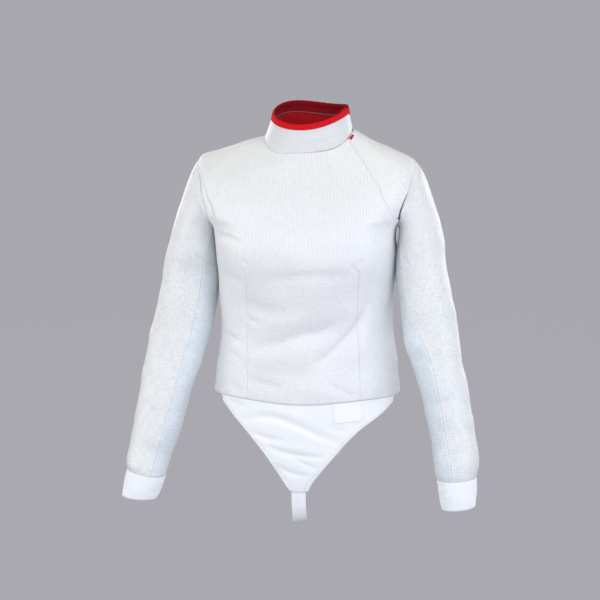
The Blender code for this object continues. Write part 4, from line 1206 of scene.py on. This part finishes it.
def sewing_thread():
    """Twisted thread, shaded along its twist."""
    base = bpy.context.scene.lame_colours.thread
    material, tree, shader, _ = start_material("sewing_thread_twist", THREAD_FINISH)
    place = node(tree, "ShaderNodeTexCoord").outputs["Object"]
    twist = cloth_noise(tree, place, 900.0, 1.0)
    tree.links.new(toned(tree, twist, THREAD_FINISH, base), shader.inputs["Base Color"])
    return material


def backdrop_paper(base, glow):
    """The even, pale floor and backdrop."""
    material = bpy.data.materials.new("backdrop_paper")
    material.use_nodes = True
    shader = material.node_tree.nodes["Principled BSDF"]
    shader.inputs["Base Color"].default_value = (*shade(base, (1 - glow,) * 3), 1.0)
    shader.inputs["Roughness"].default_value = 0.95
    shader.inputs["Specular IOR Level"].default_value = 0.0
    shader.inputs["Emission Color"].default_value = (*base, 1.0)
    shader.inputs["Emission Strength"].default_value = glow
    return material


# ---------------------------------------------------------------- operators
class LAME_OT_front(bpy.types.Operator):
    """Makes the front, with its two darts and the closing edge"""
    bl_idname = "lame.front"
    bl_label = "Front"

    def execute(self, context):
        rows = trunk_rows(ROW["hem"], ROW["neck"])
        right, left = -90 + armhole_turn(rows), front_edge(rows)
        lines = [np.interp(rows, *zip(*dart)) for dart in (DART_RIGHT, DART_LEFT)]
        turns = spread((right, *lines, left), FRONT_COLUMNS)
        points = draw_in(body_point(turns, rows[:, None]), SEWN / 2)
        up = along(points, 0)
        darts = [(column, np.interp(DART_TIP, rows, up[:, column]))
                 for column in np.cumsum(FRONT_COLUMNS)[:-1]]
        worn = trunk_panel(points, ("first", "last", "head"), darts)
        threads = middle_threads(points, abs(turns).argmin(axis=1), TRUNK_LEAN)
        piece = add_cloth("front_cloth", "front_panel", worn, threads, CLOTH, lame_cloth())
        facing = grid_facing(worn, TRUNK_MIDDLE)
        top = rows > ROW["armpit"]
        hem = row_beside(worn, facing, "foot", HEM_STITCH)
        closing = row_beside(worn[top], facing[top], "last", CLOSING_STITCH)
        add_stitches("front_stitches", (hem, closing))
        return {"FINISHED"}


class LAME_OT_left_front(bpy.types.Operator):
    """Makes the left front, from under the closing edge to the left armhole"""
    bl_idname = "lame.left_front"
    bl_label = "Left front"

    def execute(self, context):
        rows = trunk_rows(ROW["armpit"] + LEFT_FRONT_FOOT, ROW["neck"])
        edge, outer = front_edge(rows)[:, None], (90 - armhole_turn(rows))[:, None]
        turns = edge - UNDERLAP + (outer - edge + UNDERLAP) * np.linspace(0, 1, LEFT_FRONT_COLUMNS)
        under = under_flap(turns - edge)
        base = body_point(turns, rows[:, None])
        points = draw_in(base - body_facing(turns, rows[:, None]) * LAYER * under[..., None])
        worn = trunk_panel(points, ("last", "head"))
        threads = middle_threads(points, np.zeros(len(rows), dtype=int), TRUNK_LEAN)
        piece = add_cloth("left_front_cloth", "left_front_panel", worn, threads, CLOTH, lame_cloth())
        return {"FINISHED"}


class LAME_OT_back(bpy.types.Operator):
    """Makes the back"""
    bl_idname = "lame.back"
    bl_label = "Back"

    def execute(self, context):
        rows = trunk_rows(ROW["hem"], ROW["neck"])
        left, right = 90 + armhole_turn(rows), 270 - armhole_turn(rows)
        turns = spread((left, np.full(len(rows), 180.0), right), BACK_COLUMNS)
        points = draw_in(body_point(turns, rows[:, None]), SEWN / 2)
        worn = trunk_panel(points, ("first", "last", "head"))
        threads = middle_threads(points, np.full(len(rows), BACK_COLUMNS[0]), -TRUNK_LEAN)
        piece = add_cloth("back_cloth", "back_panel", worn, threads, CLOTH, lame_cloth())
        facing = grid_facing(worn, TRUNK_MIDDLE)
        add_stitches("back_stitches", (row_beside(worn, facing, "foot", HEM_STITCH),))
        return {"FINISHED"}


def sleeve_panel(name, node_name, hand, places, angles, finish):
    """One panel of a sleeve, with its seams, creases, and gathers at both ends."""
    points = draw_in(sleeve_point(hand, places[:, None], angles), SEWN / 2)
    axis = sum(ring_point(SLEEVE[hand], SIDE[hand], places, angle) for angle in (0.0, 180.0))
    facing = grid_normal(points)
    facing *= np.sign(np.sum(facing * (points - axis[:, None] / 2)))
    across, up = along(points, 1), along(points, 0)
    sunk = creasing(points, facing)
    pucker, turn = puckers(up, SLEEVE_PUCKER), np.radians(angles)
    for distance in (across, across[:, -1:] - across):
        sunk += seam_line(distance, *SLEEVE_GROOVE) * pucker
        sunk -= seam_line(distance - LIP[0], *LIP[1:]) * (2 - pucker)
    if places[0] == 0:
        sunk += seam_line(up, *ARMHOLE_GROOVE)
        sunk += gathered(turn, SHOULDER_GATHERS) * seam_line(up, GATHER_DEPTH, SHOULDER_GATHERS.reach)
    if places[-1] == len(SLEEVE[hand]) - 1:
        wrist = up[-1:] - up
        sunk *= fade(wrist / WRIST_EVEN)
        share, count, phase = WRIST_FINE
        waves = gathered(turn, WRIST_GATHERS) + share * np.sin(turn * count + phase)
        sunk += waves * seam_line(wrist, GATHER_DEPTH, WRIST_GATHERS.reach) * fade(wrist / WRIST_EDGE)
    worn = points - facing * sunk[..., None]
    length = along(sleeve_point(hand, places[:, None], np.full((len(places), 1), 90.0)), 0)
    around = across - across[:, [across.shape[1] // 2]]
    threads = np.stack((around, np.broadcast_to(-length, around.shape)), axis=-1)
    return add_cloth(name, node_name, worn, threads, CLOTH, finish)


class LAME_OT_sleeves(bpy.types.Operator):
    """Makes each sleeve's upper and under panel and its gusset"""
    bl_idname = "lame.sleeves"
    bl_label = "Sleeves"

    def execute(self, context):
        upper = lame_cloth("sleeve_weave", SLEEVE_TONE)
        # the under sleeves and gussets: a copy of the lamé painted darker and bluer as shade and sheen
        under = lame_cloth("under_sleeve_shaded_weave", UNDER_SLEEVE_SHADE_TONE, painted_armpit_shade=True)
        for hand, rings in SLEEVE.items():
            last = len(rings) - 1
            for name, node_name, start, end, columns, finish, cut in (
                    (f"upper_sleeve_{hand}", "sleeve_upper", 0, last, UPPER_COLUMNS, upper,
                     f"upper_sleeve_{hand}"),
                    (f"under_sleeve_{hand}", "sleeve_under", GUSSET_END, last, UNDER_COLUMNS, under,
                     "under_sleeve"),
                    (f"gusset_{hand}_cloth", "gusset", 0, GUSSET_END, GUSSET_COLUMNS, under,
                     "gusset")):
                places = sleeve_rows(hand, start, end)
                seam = seam_angle(hand, places)[:, None]
                first, reach = (-seam, 2 * seam) if finish is upper else (seam, 360 - 2 * seam)
                angles = first + reach * crowd(np.linspace(0, 1, columns))
                piece = sleeve_panel(name, f"{node_name}_{hand}", hand, places, angles, finish)
        return {"FINISHED"}


class LAME_OT_cuffs(bpy.types.Operator):
    """Makes the two knitted cuffs"""
    bl_idname = "lame.cuffs"
    bl_label = "Cuffs"

    def execute(self, context):
        rows, columns = CUFF_GRID
        places, angles = np.linspace(0, 1, rows)[:, None], np.linspace(0, 360, columns)[None, :]
        turn, rise = np.radians(angles), np.sin(math.pi * places)
        for hand in SLEEVE:
            points = ring_point((SLEEVE[hand][-1], CUFF_MOUTH[hand]), SIDE[hand], places, angles)
            points[0] += unit(points[1] - points[0]) * SEWN
            facing = grid_normal(points)
            facing[:, 0] = facing[:, -1] = unit(facing[:, 1] + facing[:, -2])
            facing *= np.sign(np.sum(facing * (points - points.mean(axis=1, keepdims=True))))
            out = (CUFF_BULGE * rise - CUFF_DRAW * places
                   + CUFF_FLUTES[0] * np.sin(CUFF_FLUTES[1] * turn)
                   + CUFF_WAVES * np.sin(3 * turn + 5 * places) * rise)
            worn = points + facing * out[..., None]
            threads = edge_threads(points)
            threads[..., 1] = threads[..., 1].mean(axis=1, keepdims=True)
            piece = add_cloth(f"cuff_{hand}_knit", f"cuff_{hand}", worn, threads, ELASTIC,
                              elastic_knit(), closed=True)
        return {"FINISHED"}


class LAME_OT_collar(bpy.types.Operator):
    """Makes the collar and its lining"""
    bl_idname = "lame.collar"
    bl_label = "Collar"

    def execute(self, context):
        rows, columns = COLLAR_GRID
        length, height = np.meshgrid(np.linspace(0, 1, columns), np.linspace(0, 1, rows))
        reach = height - (1 - height) * COLLAR_FOOT / collar_height(length)

        points = draw_in(collar_point(length, reach))
        facing = grid_facing(points, points.mean(axis=(0, 1)))
        across, up = along(points, 1), along(points, 0)
        sunk = creasing(points, facing) * fade(up / COLLAR_EVEN) + seam_line(up, *COLLAR_GROOVE)
        worn = points - facing * sunk[..., None]
        # the collar's lamé is a copy painted darker and bluer, as shade
        piece = add_cloth("collar_cloth", "collar", worn, np.stack((across, up), axis=-1), CLOTH,
                          lame_cloth("collar_shaded_weave", COLLAR_SHADE_TONE))
        add_stitches("collar_stitches", (row_beside(worn, facing, "foot", COLLAR_STITCH),))

        points = draw_in(collar_point(length, height, -(CLOTH / 2 + GAP + LINING / 2)))
        facing = grid_facing(points, points.mean(axis=(0, 1)))
        across, up = along(points, 1), along(points, 0)
        rise, below = up / up[-1:], up - up[-1:]
        wave = np.sin(across / LINING_WAVE + 3 * rise) * (1 - rise)
        piping = np.exp(-((below + LINING_SEAM) / LINING_PIPING[0])**2)
        sunk = creasing(points, facing) * fade(up / COLLAR_EVEN) + LINING_SUNK * (wave + piping)
        piece = add_cloth("collar_lining_cloth", "collar_lining", points - facing * sunk[..., None],
                          np.stack((across, below), axis=-1), LINING, red_lining())
        return {"FINISHED"}


def rim_tape(name, node_name, start, end, legs, columns):
    """A tape folded over the collar's rim, between two places along it."""
    over = CLOTH / 2 + GAP + TAPE / 2
    behind = -(CLOTH / 2 + GAP + LINING + GAP + TAPE / 2)
    outer, crown, inner = legs
    profile = ((over, -outer), (over, -outer / 2), (over, 0.0), ((over + behind) / 2, crown),
               (behind, 0.0), (behind, -inner / 2), (behind, -inner))
    shape = between(profile, np.linspace(0, len(profile) - 1, BINDING_ROWS))
    length = np.linspace(start, end, columns + 1)[None, :]
    points = draw_in(collar_point(length, 1 + shape[:, 1:] / collar_height(length), shape[:, :1]))
    across, up = along(points, 1), along(points, 0)
    depth, step, wander, reach = TAPE_UNEVEN
    uneven = depth * np.sin(across / step + wander * np.sin(across / reach))
    uneven *= np.sin(math.pi * up / up[-1:])
    worn = points - grid_normal(points) * uneven[..., None]
    return add_cloth(name, node_name, worn, edge_threads(points), TAPE, red_tape())


class LAME_OT_collar_trim(bpy.types.Operator):
    """Makes the collar's binding, its folded end and the end of the zip's tape"""
    bl_idname = "lame.collar_trim"
    bl_label = "Collar trim"

    def execute(self, context):
        tab = rim_tape("collar_tab_tape", "collar_tab", -TAB_REACH / COLLAR_SWEEP,
                       -TAB_GAP / COLLAR_SWEEP, (TAB_OUTER, TAB_CROWN, TAB_INNER), TAB_COLUMNS)
        rows = np.linspace(*ZIP_ENDS, ZIP_GRID[0])[:, None]
        beside = np.linspace(*ZIP_SIDES, ZIP_GRID[1])
        turns = closing_turn(rows[:, 0])[:, None] + beside
        lift = CLOTH / 2 + GAP + TAPE / 2 - LAYER * under_flap(beside)[:, None]
        facing = body_facing(turns, rows)
        points = draw_in(body_point(turns, rows) + facing * lift)
        points -= facing * creasing(points, facing)[..., None]
        zip_end = add_cloth("zip_tape_cloth", "zip_tape_end", points, edge_threads(points), TAPE,
                            red_tape())
        binding = rim_tape("collar_binding_tape", "collar_binding", 0.0, 1.0,
                           (BINDING_OUTER, BINDING_CROWN, BINDING_INNER), BINDING_COLUMNS)
        return {"FINISHED"}


class LAME_OT_bib(bpy.types.Operator):
    """Makes the bib, the binding along its two edges and the bare label"""
    bl_idname = "lame.bib"
    bl_label = "Bib"

    def execute(self, context):
        rows = trunk_rows(0.0, ROW["hem"] + BIB_TUCK, BIB_STEP)
        across = 2 * crowd(np.linspace(0, 1, BIB_COLUMNS), BIB_CROWDING) - 1
        points = draw_in(bib_point(across[None, :], rows[:, None]))
        facing = grid_facing(points, BIB_MIDDLE)
        sunk = creasing(points, facing)
        threads = middle_threads(points, np.full(len(rows), BIB_COLUMNS // 2), 0.0)
        bib = add_cloth("bib_cloth", "bib", points - facing * sunk[..., None], threads, CLOTH,
                        cotton_cloth())

        lift = CLOTH / 2 + GAP + TAPE / 2
        wrap = lift + BIB_TAPE_EASE
        profile = ((wrap, -BIB_TAPE_WIDTH), (wrap, -BIB_TAPE_WIDTH / 2), (wrap, 0.0),
                   (0.0, BIB_TAPE_FOLD),
                   (-wrap, 0.0), (-wrap, -BIB_TAPE_WIDTH / 2), (-wrap, -BIB_TAPE_WIDTH))
        shape = between(profile, np.linspace(0, len(profile) - 1, BIB_TAPE_ROWS))
        rows = trunk_rows(*BIB_TAPE_ENDS, BIB_TAPE_STEP)
        tapes, seams = [], []
        for hand, side in SIDE.items():
            edge = bib_point(side, rows)
            outward = unit(edge - bib_point(side * BIB_TAPE_INSIDE, rows))
            facing = body_facing(side * between(BIB_REACH, rows)[..., 0 if side < 0 else 1], rows)
            lifted = shape[:, 0, None, None] - creasing(edge, facing)[None, :, None]
            points = edge[None] + outward[None] * shape[:, 1, None, None] + facing[None] * lifted
            facing = np.broadcast_to(facing, points.shape)
            seams.append(row_beside(points, facing, "foot", TAPE_STITCH))
            threads = edge_threads(points)
            tapes.append(add_cloth(f"bib_tape_{hand}", f"bib_binding_{hand}", draw_in(points), threads,
                                   TAPE, cotton_cloth()))

        rows, columns = LABEL_GRID
        turns, rows = np.meshgrid(np.linspace(*LABEL_SIDES, columns), np.linspace(*LABEL_ENDS, rows))
        base, facing = body_point(turns, rows), body_facing(turns, rows)
        points = draw_in(base + facing * (lift - bib_layer(rows) - creasing(base, facing))[..., None])
        label = add_cloth("label_cloth", "label", points, edge_threads(points), TAPE, label_satin())
        seams += [row_beside(points, facing, edge, LABEL_STITCH)
                  for edge in ("first", "last", "foot", "head")]
        add_stitches("bib_stitches", seams, TAPE)
        return {"FINISHED"}


class LAME_OT_strap(bpy.types.Operator):
    """Makes the elastic crotch strap"""
    bl_idname = "lame.strap"
    bl_label = "Crotch strap"

    def execute(self, context):
        under = CLOTH / 2 + GAP + ELASTIC / 2
        behind_tape = under + TAPE + GAP + BIB_TAPE_EASE
        front = [Station(*bib_point(0.0, row, -behind_tape), 0) for row in (STRAP_FRONT, 0.0)]
        back = [Station(*body_point(180.0, row, -under - STRAP_AIR), 0)
                for row in (ROW["hem"] - STRAP_LEAD, ROW["hem"] + STRAP_BACK)]
        route = front + list(STRAP) + back
        last = len(route) - 1
        rows, columns = STRAP_GRID
        places = np.linspace(0, last, rows)
        line = between(route, places)
        ahead = (between(route, np.minimum(places + STRAP_STEP, last))
                 - between(route, np.maximum(places - STRAP_STEP, 0)))
        run = unit(ahead[:, :3])
        across = unit(np.array([1.0, 0.0, 0.0]) - run * run[:, :1])
        turn = np.radians(line[:, 3:])
        across = across * np.cos(turn) + np.cross(run, across) * np.sin(turn)
        facing = unit(np.cross(across, run))
        facing *= np.where(facing[:1, 1:2] > 0, -1, 1)
        sunk = creasing(line[:, :3], facing) * fade((STRAP_FREE - places) / 2)
        middle = line[:, :3] - facing * sunk[:, None]
        side = np.linspace(-0.5, 0.5, columns)
        cup = STRAP_CUP * (2 * side)**2
        points = draw_in(middle[:, None] + across[:, None] * (STRAP_WIDTH * side)[None, :, None]
                         - facing[:, None] * cup[None, :, None])
        piece = add_cloth("strap_elastic", "crotch_strap", points, edge_threads(points), ELASTIC,
                          elastic_knit())
        return {"FINISHED"}


class LAME_OT_stage(bpy.types.Operator):
    """Makes the floor and backdrop, the lights and the camera"""
    bl_idname = "lame.stage"
    bl_label = "Stage"

    def execute(self, context):
        stage = context.scene.lame_stage
        low = CAD_BOX[0][2] - stage.floor_drop
        bend = [(ROOM_FLOOR + ROOM_BEND * math.sin(angle), low + ROOM_BEND * (1 - math.cos(angle)))
                for angle in np.linspace(0, math.pi / 2, ROOM_BEND_STEPS)]
        outline = [(0.0, low), *bend, (ROOM_FLOOR + ROOM_BEND, low + ROOM_HEIGHT)]
        room = bmesh.new()
        corners = [room.verts.new((reach, 0.0, height)) for reach, height in outline]
        edges = [room.edges.new(pair) for pair in zip(corners[:-1], corners[1:])]
        bmesh.ops.spin(room, geom=corners + edges, cent=(0, 0, 0), axis=(0, 0, 1), angle=2 * math.pi,
                       steps=ROOM_STEPS, use_merge=True)
        bmesh.ops.remove_doubles(room, verts=room.verts, dist=1e-5)
        add_object("backdrop", room, backdrop_paper(stage.floor, stage.glow))

        target = Vector(LOOK_AT)
        for lamp in LAMPS:
            light = bpy.data.lights.new(lamp.name, "AREA")
            light.shape, light.size, light.size_y = "RECTANGLE", lamp.width, lamp.height
            light.energy, light.color = lamp.power * getattr(stage, lamp.share), lamp.tint
            made = bpy.data.objects.new(lamp.name, light)
            made.location = lamp.place
            made.rotation_euler = (target - made.location).to_track_quat("-Z", "Y").to_euler()
            made.visible_camera = False
            context.scene.collection.objects.link(made)
        world = bpy.data.worlds.new("studio")
        world.use_nodes = True
        background = world.node_tree.nodes["Background"]
        background.inputs["Color"].default_value = (*stage.floor, 1.0)
        background.inputs["Strength"].default_value = 1.0
        context.scene.world = world
        context.scene.view_settings.view_transform = "Standard"

        camera = bpy.data.objects.new("camera", bpy.data.cameras.new("camera"))
        flat = math.cos(stage.elevation)
        back = Vector((math.sin(stage.azimuth) * flat, -math.cos(stage.azimuth) * flat,
                       math.sin(stage.elevation)))
        camera.location = target + back * stage.distance
        camera.rotation_euler = (-back).to_track_quat("-Z", "Y").to_euler()
        camera.data.angle = 2 * math.atan(stage.field / 2 / stage.distance)
        context.scene.collection.objects.link(camera)
        context.scene.camera = camera
        return {"FINISHED"}


OPERATORS = (LAME_OT_stage, LAME_OT_front, LAME_OT_left_front, LAME_OT_back, LAME_OT_sleeves,
             LAME_OT_cuffs, LAME_OT_collar, LAME_OT_collar_trim, LAME_OT_bib, LAME_OT_strap)


class LAME_PT_pieces(bpy.types.Panel):
    """The lamé's pieces, sizes and colours"""
    bl_label = "Fencing lamé"
    bl_idname = "LAME_PT_pieces"
    bl_space_type = "VIEW_3D"
    bl_region_type = "UI"
    bl_category = "Lamé"

    def draw(self, context):
        for operator in OPERATORS:
            self.layout.operator(operator.bl_idname)
        for group in (context.scene.lame_sizes, context.scene.lame_colours, context.scene.lame_stage):
            box = self.layout.box()
            for name in group.bl_rna.properties.keys():
                if name not in ("rna_type", "name"):
                    box.prop(group, name)


CLASSES = (LameColours, LameSizes, LameStage, *OPERATORS, LAME_PT_pieces)
SETTINGS = (("lame_colours", LameColours), ("lame_sizes", LameSizes), ("lame_stage", LameStage))


def register():
    for made in CLASSES:
        bpy.utils.register_class(made)
    for name, group in SETTINGS:
        setattr(bpy.types.Scene, name, PointerProperty(type=group))


def unregister():
    for name, _ in SETTINGS:
        delattr(bpy.types.Scene, name)
    for made in reversed(CLASSES):
        bpy.utils.unregister_class(made)


def main():
    """Makes the whole garment on its stage."""
    register()
    for operator in OPERATORS:
        family, name = operator.bl_idname.split(".")
        if getattr(getattr(bpy.ops, family), name)() != {"FINISHED"}:
            raise RuntimeError(f"{operator.bl_label} wasn't made")


if __name__ == "__main__":
    main()
